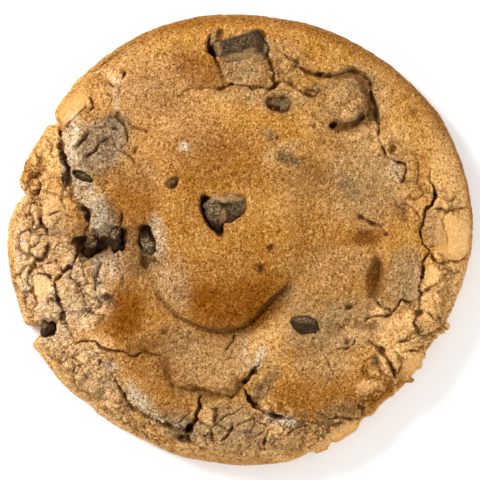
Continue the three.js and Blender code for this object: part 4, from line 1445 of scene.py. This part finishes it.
@dataclass(frozen=True)
class Dough:
    """The baked dough: a disc with a rounded side, worked up into cracked crust."""

    crust: Crust = Crust()
    node: str = "cookie"
    disc_radius: float = 50.0
    disc_height: float = 13.0
    shoulder: float = 8.2
    foot: float = 2.4
    lip_middle: float = 222.0
    lip_spread: float = 36.0
    lip_width: float = 1.7
    ragged: float = 0.5
    ragged_size: float = 1.9
    # The depth of a crack that gets the full painted shade, and how strong the shadow painted in the
    # crease under the lip is.
    full_shade_depth: float = 2.2
    crease_shade: float = 0.7
    rim_browned: float = 0.7
    rim_middle: float = 62.0
    rim_spread: float = 75.0
    sides: int = 192
    voxel: float = 0.26
    quick_coarser: float = 1.7
    triangles: int = 196_000

    def disc(self) -> bpy.types.Object:
        """A disc with a well rounded top edge and a small round at its foot, in small even faces."""
        bare()
        bpy.ops.mesh.primitive_cylinder_add(
            vertices=self.sides,
            radius=self.disc_radius * MM,
            depth=self.disc_height * MM,
            location=(0.0, 0.0, 0.5 * self.disc_height * MM),
        )
        piece = bpy.context.active_object
        bpy.ops.object.transform_apply(location=True, rotation=True, scale=True)
        for height, offset in ((self.disc_height, self.shoulder), (0.0, self.foot)):
            self.round_edge(piece, height, offset)
        size = self.voxel * 1.0
        finished(piece, "REMESH", mode="VOXEL", voxel_size=size * MM)
        return piece

    def round_edge(self, piece: bpy.types.Object, height: float, offset: float) -> None:
        """Bevels the edge of the disc at a height.

        Args:
            piece: the disc.
            height: where the edge is.
            offset: the size of the round.
        """
        take(piece)
        bpy.ops.object.mode_set(mode="EDIT")
        bpy.ops.mesh.select_mode(type="EDGE")
        bpy.ops.mesh.select_all(action="DESELECT")
        mesh = bmesh.from_edit_mesh(piece.data)
        for edge in mesh.edges:
            if all(abs(corner.co.z - height * MM) < 0.01 * MM for corner in edge.verts):
                edge.select_set(True)
        bmesh.update_edit_mesh(piece.data)
        bpy.ops.mesh.bevel(offset=offset * MM, segments=10, profile=0.5, affect="EDGES")
        bpy.ops.object.mode_set(mode="OBJECT")

    def raise_crust(self, piece: bpy.types.Object) -> None:
        """Gives the disc its outline, its hills and the central plate."""
        points = corners_of(piece.data)
        bearing = np.arctan2(points[:, 1], points[:, 0])
        high_up = smooth_step(points[:, 2], 2.6, 5.4)
        ragged = self.ragged * lumpy(points, self.ragged_size, 30, 3) * high_up
        ragged *= most(CRUMBLED + PLATED, points[:, :2], 0.5)
        lip = smooth_step(np.abs((np.degrees(bearing) % 360.0) - self.lip_middle), self.lip_spread, 12.0)
        ragged -= self.lip_width * lip * high_up
        grow = (self.crust.outline.radius(bearing) + ragged) / self.disc_radius
        points[:, 0] *= grow
        points[:, 1] *= grow
        low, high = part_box(self.node)
        points[:, 0] += 0.5 * (low.x + high.x) / MM - 0.5 * (points[:, 0].min() + points[:, 0].max())
        points[:, 1] += 0.5 * (low.y + high.y) / MM - 0.5 * (points[:, 1].min() + points[:, 1].max())
        top = points[:, 2] / self.disc_height
        points[:, 2] = top * self.crust.height(points)
        points[:, :2] += self.crust.dome.push(points[:, :2]) * (top > 0.9)[:, None]
        move_corners(piece.data, points)

    def work_surface(self, piece: bpy.types.Object) -> None:
        """Cracks and roughens the crust along its normals. The flat underside stays flat."""
        points = corners_of(piece.data)
        normals = normals_of(piece.data)
        upper = smooth_step(normals[:, 2], -0.9, -0.4)
        rise = self.crust.roughness(points)
        top = smooth_step(normals[:, 2], -0.1, 0.35)
        rise -= self.crust.cracks(points) * top
        points += normals * (rise * upper)[:, None]
        points[:, 2] = np.maximum(points[:, 2], 0.0)
        move_corners(piece.data, points)

    def colour_surface(self, piece: bpy.types.Object) -> None:
        """Paints where the crust is browned, pale and stained, and the shade painted in its cracks, pits,
        sockets and under the lip.
        """
        mesh = piece.data
        points = corners_of(mesh)
        normals = normals_of(mesh)
        places = self.crust.wandered(points)
        up = smooth_step(points[:, 2], 5.5, 8.5)
        share = np.linalg.norm(points[:, :2], axis=1) / self.crust.outline.radius(
            np.arctan2(points[:, 1], points[:, 0])
        )
        bearing = np.degrees(np.arctan2(points[:, 1], points[:, 0]))
        whole_rim = smooth_step(np.abs(bearing - self.rim_middle), self.rim_spread, 55.0)
        rim = self.rim_browned * smooth_step(share, 0.93, 0.985) * whole_rim
        under = self.rim_browned * smooth_step(normals[:, 2], -0.5, -0.9)
        browned = np.maximum(most(BROWNED, places, 0.6) * up, np.maximum(rim, under))
        tables = {Part.TAN: TAN, Part.PALE: PALE, Part.WHITE: WHITE, Part.STAINED: STAINED}
        paint(mesh, Part.BROWNED, browned)
        for part, patches in tables.items():
            paint(mesh, part, most(patches, places, 0.5) * up)
        _, gaps, tone = self.crust.breakage(points)
        dome = self.crust.dome
        # Painted shade: the deeper a crack, pit or socket goes, the darker, with a painted shadow in the
        # crease under the lip.
        crease = self.crease_shade * dome.crease(points[:, :2] - dome.push(points[:, :2]))
        paint(mesh, Part.DEEP, np.maximum(self.crust.cracks(points) / self.full_shade_depth, crease) * up)
        # Painted shade in the gaps between flakes and crumbs.
        paint(mesh, Part.GAP, gaps * smooth_step(points[:, 2], 4.0, 6.5))
        paint(mesh, Part.TONE, 0.5 + tone)
        paint(mesh, Part.WHOLE, self.crust.whole(points))
        paint(mesh, Part.FOOT, 1.0 - smooth_step(points[:, 2], 4.5, 8.0))

    def made(self, finish: bpy.types.Material) -> bpy.types.Object:
        """Builds the dough.

        Args:
            finish: its material.

        Returns:
            The piece.
        """
        piece = self.disc()
        self.raise_crust(piece)
        self.work_surface(piece)
        mesh = piece.data
        ratio = self.triangles / sum(len(face.vertices) - 2 for face in mesh.polygons)
        if ratio < 1.0:
            finished(piece, "DECIMATE", ratio=ratio)
        self.colour_surface(piece)
        take(piece)
        bpy.ops.object.shade_smooth()
        settle(piece, "dough", finish, self.node)
        return piece


# ---- The chocolate -------------------------------------------------------------------------------


@dataclass(frozen=True)
class Face:
    """A flat broken side: its bearing, its upward angle and its distance from the middle."""

    bearing: float
    climb: float
    distance: float
    pared_share: float = 0.94

    def out(self) -> np.ndarray:
        """The direction that the side faces."""
        b, c = math.radians(self.bearing), math.radians(self.climb)
        return np.array([math.cos(b) * math.cos(c), math.sin(b) * math.cos(c), math.sin(c)])

    def pared(self, points: np.ndarray) -> np.ndarray:
        """Points with those beyond the side moved back to it."""
        over = np.clip(points @ self.out() - self.distance, 0.0, None)
        return points - self.pared_share * over[:, None] * self.out()


@dataclass(frozen=True)
class Lump:
    """One ball of a piece of chocolate, before its faces are pared."""

    x: float
    y: float
    z: float
    radius: float


@dataclass(frozen=True)
class Chocolate:
    """A chip or a lump of chocolate in its socket: balls melted together, with broken faces."""

    node: str
    lumps: tuple[Lump, ...]
    top: float
    faces: tuple[Face, ...] = ()
    smears: tuple[Patch, ...] = ()
    # Where bloom and dust lie; on some pieces these are painted highlights.
    dust: tuple[Patch, ...] = ()
    squash: float = 0.8
    bumps: float = 0.3
    seed: int = 0
    voxel: float = 0.2
    # Share, size and seed of each noise in the bumps.
    noises: tuple[tuple[float, float, int], ...] = ((1.0, 2.4, 100), (0.5, 0.9, 104))

    def made(self, finish: bpy.types.Material) -> bpy.types.Object:
        """Builds the piece in place of its CAD node.

        Args:
            finish: its material.

        Returns:
            The piece.
        """
        _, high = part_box(self.node)
        balls = []
        for lump in self.lumps:
            bare()
            place = (lump.x * MM, lump.y * MM, lump.z * MM)
            bpy.ops.mesh.primitive_ico_sphere_add(subdivisions=4, radius=lump.radius * MM, location=place)
            ball = bpy.context.active_object
            bpy.ops.object.transform_apply(location=True, rotation=True, scale=True)
            balls.append(ball)
        piece = joined(balls)
        finished(piece, "REMESH", mode="VOXEL", voxel_size=self.voxel * MM)
        finished(piece, "SMOOTH", factor=0.8, iterations=6)
        mesh = piece.data
        points = corners_of(mesh) * np.array([1.0, 1.0, self.squash])
        middle = 0.5 * (points.min(0) + points.max(0))
        points -= middle
        for face in self.faces:
            points = face.pared(points)
        move_corners(mesh, points)
        shifted = points + 31.0 * self.seed
        rough = sum(share * lumpy(shifted, size, seed, 2) for share, size, seed in self.noises)
        points += normals_of(mesh) * (self.bumps * rough)[:, None]
        points += middle
        points[:, 2] += high.z / MM + self.top - points[:, 2].max()
        move_corners(mesh, points)
        paint(mesh, Part.SMEARED, most(self.smears, points[:, :2] + 0.25 * rough[:, None], 0.3))
        paint(mesh, Part.DUSTED, most(self.dust, points[:, :2] + 0.25 * rough[:, None], 0.5))
        take(piece)
        bpy.ops.object.shade_smooth_by_angle(angle=math.radians(45))
        settle(piece, f"chocolate_{self.node}", finish, self.node)
        return piece


CHOCOLATE = (
    Chocolate(
        node="chip_centre",
        lumps=(
            Lump(-5.4, 6.2, 0, 2.9), Lump(-1.2, 7.3, 0.1, 2.6), Lump(-3.4, 8.8, 0, 2.8),
            Lump(-4.5, 3.8, -0.2, 1.8), Lump(-2.6, 5.6, 0, 2.4),
        ),
        top=-0.5,
        faces=(Face(200, 30, 3.3), Face(330, 40, 3.3), Face(90, 60, 2.7)),
        smears=(
            Patch(-3.6, 5.2, 0.6, 1.8, -12, 0.7), Patch(-3.6, 9.8, 5.0, 1.4, -6, 1.0),
            Patch(1.3, 6.4, 0.7, 1.6, 0, 0.6),
        ),
        # Bloom on the left face, with painted highlights there and on the right lobe.
        dust=(Patch(-6.0, 6.8, 1.5, 2.6, 20, 1.0), Patch(-0.6, 6.8, 2.0, 1.4, 40, 0.4)),
        bumps=0.5,
        seed=1,
    ),
    Chocolate(
        node="chip_north_east",
        lumps=(Lump(6.9, 29.4, 0, 1.8), Lump(8.3, 29.2, 0, 1.9), Lump(9.7, 29.0, 0, 1.8)),
        top=-1.7,
        smears=(Patch(8.2, 29.2, 3.0, 2.0, 0, 0.4), Patch(6.9, 27.8, 1.2, 0.5, 0, 0.8)),
        dust=(Patch(8.2, 29.2, 3.0, 2.0, 0, 0.3),),
        squash=0.7,
        bumps=0.75,
        seed=2,
    ),
    Chocolate(
        node="chip_south",
        lumps=(Lump(12.2, -17.6, 0, 2.2), Lump(13.9, -18.2, 0, 2.4), Lump(15.6, -18.8, 0, 2.1)),
        top=-1.2,
        # Painted highlight along the chip's top edge.
        dust=(Patch(13.4, -16.8, 2.8, 0.8, -16, 0.7),),
        squash=0.6,
        bumps=0.2,
        seed=3,
    ),
    Chocolate(
        node="chip_west_inner",
        lumps=(Lump(-20.3, 0.6, 0, 1.7), Lump(-19.8, -1.4, 0.3, 1.7), Lump(-20.2, -3.0, -0.4, 1.4)),
        top=-0.9,
        faces=(Face(60, 50, 1.4), Face(200, 30, 1.3)),
        # Painted grey-white highlight.
        dust=(Patch(-19.8, -1.0, 1.7, 1.8, 20, 1.0),),
        squash=1.0,
        bumps=0.7,
        seed=4,
    ),
    Chocolate(
        node="chip_west_small",
        lumps=(Lump(-15.1, 12.6, 0, 1.6), Lump(-14.0, 12.2, 0, 1.6)),
        top=-1.5,
        smears=(Patch(-14.6, 12.8, 0.8, 0.5, 0, 0.4), Patch(-15.6, 11.9, 0.5, 0.7, 0, 0.5)),
        squash=0.6,
        bumps=0.4,
        seed=5,
    ),
    Chocolate(
        node="chip_north_west",
        lumps=(Lump(-34.8, 14.0, 0, 0.8), Lump(-33.6, 13.5, 0.1, 0.9), Lump(-32.4, 13.0, 0, 0.7)),
        top=-0.5,
        faces=(Face(60, 60, 0.7),),
        dust=(Patch(-33.8, 14.1, 2.0, 0.4, -24, 0.5),),
        squash=0.9,
        bumps=0.22,
        seed=6,
    ),
    Chocolate(
        node="chip_west_edge",
        lumps=(
            Lump(-41.9, -19.4, 0, 1.5), Lump(-40.7, -18.9, 0.2, 1.4), Lump(-41.6, -18.2, 0.4, 0.9),
        ),
        top=-0.6,
        faces=(Face(180, 40, 1.3),),
        # Painted glints.
        dust=(Patch(-42.3, -18.6, 0.7, 0.4, 30, 0.9),),
        squash=1.0,
        bumps=0.5,
        seed=7,
    ),
    Chocolate(
        node="chip_south_low",
        lumps=(Lump(3.4, -31.8, 0, 1.5), Lump(4.9, -33.8, 0, 1.7), Lump(6.6, -35.4, 0, 1.5)),
        top=-2.5,
        smears=(Patch(5.6, -33.0, 3.2, 4.4, -42, 0.5),),
        dust=(Patch(5.6, -33.0, 1.6, 4.4, -42, 0.8),),
        squash=0.9,
        bumps=0.4,
        seed=8,
    ),
    Chocolate(
        node="chip_south_west",
        lumps=(Lump(-10.5, -40.0, 0, 1.3), Lump(-11.0, -41.3, -0.2, 1.1)),
        top=-1.8,
        squash=1.0,
        bumps=0.4,
        seed=9,
    ),
    Chocolate(
        node="melted_chocolate_west",
        lumps=(
            Lump(-33.2, -2.3, -0.3, 1.3), Lump(-31.9, -1.5, 0, 1.5), Lump(-30.2, -1.1, -0.4, 1.2),
            Lump(-28.6, -0.4, -0.3, 1.3), Lump(-27.0, 0.2, 0.1, 1.5), Lump(-26.6, 2.0, 0, 1.2),
            Lump(-26.4, -1.8, -0.2, 1.2), Lump(-31.2, -0.2, 0.3, 0.9),
        ),
        top=-1.3,
        # Painted highlights on the glossy melted chocolate.
        dust=(Patch(-31.8, -0.4, 1.4, 0.8, 25, 1.0), Patch(-26.8, 1.6, 1.1, 1.2, 0, 0.9)),
        squash=1.0,
        bumps=0.75,
        seed=10,
    ),
)


@dataclass(frozen=True)
class Chunk:
    """The chopped chunk at the north: a block with broken faces."""

    node: str = "chunk_north"
    size: tuple[float, float, float] = (12.4, 8.0, 4.6)
    lift: float = 0.4
    bevel: float = 0.14
    voxel: float = 0.17
    # Height, size and seed of its unevenness.
    uneven: tuple[tuple[float, float, int], ...] = ((0.16, 3.0, 120), (0.12, 0.9, 123))
    cuts: tuple[Face, ...] = (
        Face(109.6, 8, 2.95), Face(38.7, 10, 4.8), Face(-19.4, 10, 5.55), Face(268, 8, 3.3),
        Face(202, 10, 4.95), Face(266, 52, 2.75), Face(196, 50, 4.3), Face(70, 80, 2.15),
    )
    smears: tuple[Patch, ...] = (
        Patch(0.6, 38.6, 5.6, 1.5, 2, 0.95),
        Patch(-5.0, 41.2, 1.0, 1.6, 0, 0.5),
        Patch(5.9, 41.0, 0.7, 2.4, 0, 0.6),
        Patch(1.8, 40.4, 1.8, 0.7, 20, 0.5),
        Patch(-1.0, 44.4, 4.4, 0.6, 14, 0.6),
    )
    dust: tuple[Patch, ...] = (
        Patch(-0.6, 42.6, 4.6, 1.9, 12, 0.3),
        Patch(-5.0, 40.6, 1.2, 1.2, 0, 0.6),
    )

    def made(self, finish: bpy.types.Material) -> bpy.types.Object:
        """Builds the chunk in place of its CAD node.

        Args:
            finish: its material.

        Returns:
            The piece.
        """
        low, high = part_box(self.node)
        bare()
        bpy.ops.mesh.primitive_cube_add(size=MM)
        piece = bpy.context.active_object
        bpy.ops.object.mode_set(mode="EDIT")
        bpy.ops.mesh.select_all(action="SELECT")
        bpy.ops.transform.resize(value=self.size)
        for cut in self.cuts:
            out = Vector(cut.out())
            bpy.ops.mesh.select_all(action="SELECT")
            bpy.ops.mesh.bisect(
                plane_co=out * cut.distance * MM, plane_no=out, use_fill=True, clear_outer=True
            )
        bpy.ops.object.mode_set(mode="OBJECT")
        finished(piece, "BEVEL", width=self.bevel * MM, segments=2, limit_method="ANGLE")
        finished(piece, "REMESH", mode="VOXEL", voxel_size=self.voxel * MM)
        mesh = piece.data
        points = corners_of(mesh)
        rise = sum(height * lumpy(points, size, seed, 2) for height, size, seed in self.uneven)
        points += normals_of(mesh) * rise[:, None]
        middle = (low + high) / 2.0 / MM
        points[:, :2] += np.array([middle.x, middle.y])
        points[:, 2] += high.z / MM + self.lift - points[:, 2].max()
        move_corners(mesh, points)
        paint(mesh, Part.SMEARED, most(self.smears, points[:, :2], 0.4))
        paint(mesh, Part.DUSTED, most(self.dust, points[:, :2], 0.4))
        take(piece)
        bpy.ops.object.shade_smooth_by_angle(angle=math.radians(50))
        settle(piece, "chocolate_chunk_north", finish, self.node)
        return piece


# ---- Specks and crumbs ---------------------------------------------------------------------------


def ground(surface: bpy.types.Object, x: float, y: float) -> tuple[Vector, Vector] | None:
    """The top of a surface over a place.

    Args:
        surface: the piece to look down on.
        x: place east, in metres.
        y: place north, in metres.

    Returns:
        The point and the normal there, or None past the edge.
    """
    hit, point, normal, _ = surface.ray_cast(Vector((x, y, 0.1)), Vector((0.0, 0.0, -1.0)))
    return (point, normal) if hit else None


@dataclass(frozen=True)
class Scatter:
    """Small bits that lie half sunk in the crust, each an uneven lump."""

    name: str
    slot: str
    spots: tuple[Patch, ...]
    zones: tuple[Patch, ...]
    count: int
    smallest: float
    largest: float
    flatness: float
    sink: float
    seed: int
    uneven: float = 0.09
    narrowest: float = 0.6
    # The higher, the more of the bits are small.
    smallness: float = 2.5
    # How far the crust has to face up where a bit lies.
    facing_up: float = 0.1

    def model(self) -> bpy.types.Object:
        """One uneven lump a unit across, to copy."""
        bare()
        bpy.ops.mesh.primitive_ico_sphere_add(subdivisions=2, radius=0.5)
        piece = bpy.context.active_object
        bpy.ops.object.mode_set(mode="EDIT")
        bpy.ops.mesh.select_all(action="SELECT")
        bpy.ops.transform.vertex_random(offset=self.uneven, seed=self.seed)
        bpy.ops.object.mode_set(mode="OBJECT")
        return piece

    def places(self) -> list[tuple[float, float, float, float]]:
        """Where each bit lies, as x, y, length and width in millimetres."""
        rng = np.random.default_rng(self.seed)
        placed = [(spot.x, spot.y, 2.0 * spot.along, 2.0 * spot.across) for spot in self.spots]
        areas = np.array([zone.along * zone.across * zone.amount for zone in self.zones])
        for _ in range(self.count):
            zone = self.zones[rng.choice(len(self.zones), p=areas / areas.sum())]
            angle, reach = rng.uniform(0.0, 2.0 * math.pi), math.sqrt(rng.uniform())
            turn = math.radians(zone.turn)
            along, across = zone.along * reach * math.cos(angle), zone.across * reach * math.sin(angle)
            x = zone.x + along * math.cos(turn) - across * math.sin(turn)
            y = zone.y + along * math.sin(turn) + across * math.cos(turn)
            size = self.smallest + (self.largest - self.smallest) * rng.uniform() ** self.smallness
            placed.append((x, y, size, size * rng.uniform(self.narrowest, 1.0)))
        return placed

    def lay(
        self, bit: bpy.types.Object, point: Vector, normal: Vector, size: Point, spin: float
    ) -> None:
        """Shapes a bit and presses it into the crust.

        Args:
            bit: a copy of the model.
            point: where it lies.
            normal: which way the crust faces there.
            size: its length and width, in millimetres.
            spin: how far it is turned on the crust, in radians.
        """
        length, width = size
        thick = self.flatness * width
        lean = normal.to_track_quat("Z", "Y").to_matrix().to_4x4()
        turn = Matrix.Rotation(spin, 4, "Z")
        scale = Matrix.Diagonal((length * MM, width * MM, thick * MM, 1.0))
        lift = normal * (0.5 - self.sink) * thick * MM
        bit.data.transform(Matrix.Translation(point + lift) @ lean @ turn @ scale)

    def made(self, surface: bpy.types.Object, finish: bpy.types.Material) -> bpy.types.Object:
        """Builds all the bits as one piece.

        Args:
            surface: the dough that they lie on.
            finish: their material.

        Returns:
            The piece.
        """
        rng = np.random.default_rng(self.seed + 1)
        model = self.model()
        bits = []
        for x, y, length, width in self.places():
            found = ground(surface, x * MM, y * MM)
            if found is None or found[1].z < self.facing_up:
                continue
            bit = model.copy()
            bit.data = model.data.copy()
            bpy.context.collection.objects.link(bit)
            self.lay(bit, *found, (length, width), rng.uniform(0.0, 2.0 * math.pi))
            bits.append(bit)
        bpy.data.objects.remove(model)
        piece = joined(bits)
        places = corners_of(piece.data)
        own = np.repeat(rng.uniform(size=len(bits)), len(places) // len(bits))
        paint(piece.data, Part.TONE, 0.45 + 0.4 * own)
        paint(piece.data, Part.PALE, most(PALE, places[:, :2]))
        paint(piece.data, Part.STAINED, most(STAINED, places[:, :2]))
        paint(piece.data, Part.WHITE, 0.8 * most(WHITE, places[:, :2]))
        paint(piece.data, Part.SMEARED, 0.7 * own)
        take(piece)
        bpy.ops.object.shade_smooth()
        settle(piece, self.name, finish, None)
        return piece


SPECKS = Scatter(
    name="chocolate_specks",
    slot="chocolate",
    spots=(
        Patch(6.7, 22.4, 0.8, 0.6), Patch(7.9, 22.0, 0.6, 0.4), Patch(4.4, 11.3, 0.35, 0.3),
        Patch(9.2, 13.0, 0.55, 0.4), Patch(-30.0, -26.2, 0.8, 0.55), Patch(13.4, -27.7, 0.6, 0.45),
        Patch(28.9, -26.0, 0.75, 0.9), Patch(-17.0, -20.0, 0.6, 0.5), Patch(-16.2, -19.4, 0.4, 0.35),
        Patch(6.4, 17.9, 0.4, 0.3), Patch(17.3, 12.3, 0.4, 0.35), Patch(-20.1, -2.9, 0.9, 0.8),
        Patch(-37.6, 10.8, 0.5, 0.4),
    ),
    zones=(Patch(0.0, 0.0, 46.0, 46.0), Patch(15.0, -10.0, 20.0, 20.0)),
    count=24,
    smallest=0.25,
    largest=0.7,
    flatness=0.45,
    sink=0.78,
    seed=11,
)

CRUMBS = Scatter(
    name="crumbs",
    slot="baked_dough",
    spots=(
        Patch(44.6, -18.6, 1.1, 0.8), Patch(43.8, -20.0, 0.7, 0.6), Patch(39.6, -27.2, 0.7, 0.5),
        Patch(37.2, -30.4, 0.6, 0.5), Patch(-45.6, 16.4, 0.8, 0.6),
    ),
    zones=CRUMBLED,
    count=160,
    smallest=0.3,
    largest=1.2,
    flatness=0.6,
    sink=0.5,
    seed=23,
)


# ---- Stage ---------------------------------------------------------------------------------------


@dataclass(frozen=True)
class Lamp:
    """An area light that points at the cookie: its place and side in metres, and its power in watts."""

    name: str
    place: tuple[float, float, float]
    size: float
    power: float

    def hang(self) -> None:
        """Puts the light in the scene."""
        data = bpy.data.lights.new(self.name, "AREA")
        data.size = self.size
        data.energy = self.power
        lamp = bpy.data.objects.new(self.name, data)
        lamp.location = self.place
        lamp.rotation_euler = (-Vector(self.place)).to_track_quat("-Z", "Y").to_euler()
        bpy.context.collection.objects.link(lamp)


@dataclass(frozen=True)
class Studio:
    """The floor, the lights and the camera."""

    camera_height: float = 1.1
    # The view is view_width wide at view_height, in metres.
    view_height: float = 0.005
    view_width: float = 0.1039
    sensor: float = 36.0
    floor_size: float = 3.0
    # How far the floor lies under the cookie, in millimetres, so that they don't touch.
    floor_drop: float = 0.05
    floor_shade: tuple[float, float, float, float] = (0.97, 0.97, 0.97, 1.0)
    floor_roughness: float = 0.9
    sky_strength: float = 0.62
    key: Lamp = Lamp("key", (-0.55, 0.41, 0.51), 0.36, 8.7)
    fill: Lamp = Lamp("fill", (0.5, -0.3, 0.6), 0.6, 3.4)

    def floor(self) -> None:
        """A plain pale floor."""
        bare()
        bpy.ops.mesh.primitive_plane_add(size=self.floor_size, location=(0.0, 0.0, -self.floor_drop * MM))
        plane = bpy.context.active_object
        plane.name = "floor"
        material = bpy.data.materials.new("pale_floor")
        material.use_nodes = True
        shader = material.node_tree.nodes["Principled BSDF"]
        shader.inputs["Base Color"].default_value = self.floor_shade
        shader.inputs["Roughness"].default_value = self.floor_roughness
        plane.data.materials.append(material)

    def sky(self) -> None:
        """Even light from all round."""
        world = bpy.data.worlds.new("studio")
        world.use_nodes = True
        back = world.node_tree.nodes["Background"]
        back.inputs["Color"].default_value = (1.0, 1.0, 1.0, 1.0)
        back.inputs["Strength"].default_value = self.sky_strength
        bpy.context.scene.world = world

    def camera(self) -> None:
        """A camera straight above."""
        data = bpy.data.cameras.new("camera")
        data.sensor_width = self.sensor
        data.lens = self.sensor * (self.camera_height - self.view_height) / self.view_width
        camera = bpy.data.objects.new("camera", data)
        camera.location = (0.0, 0.0, self.camera_height)
        bpy.context.collection.objects.link(camera)
        bpy.context.scene.camera = camera

    def set_up(self) -> None:
        """Puts everything round the cookie."""
        self.camera()
        self.floor()
        self.sky()
        self.key.hang()
        self.fill.hang()
        bpy.context.scene.view_settings.view_transform = "Standard"


def main() -> None:
    """Builds the cookie piece by piece."""
    logging.basicConfig(level=logging.INFO, format="%(message)s")
    Studio().set_up()
    dough_finish = BakedDough().made()
    chip_finish = DarkChocolate().made()
    dough = Dough().made(dough_finish)
    for chocolate in CHOCOLATE:
        chocolate.made(chip_finish)
    Chunk().made(chip_finish)
    SPECKS.made(dough, chip_finish)
    CRUMBS.made(dough, dough_finish)


if __name__ == "__main__":
    main()
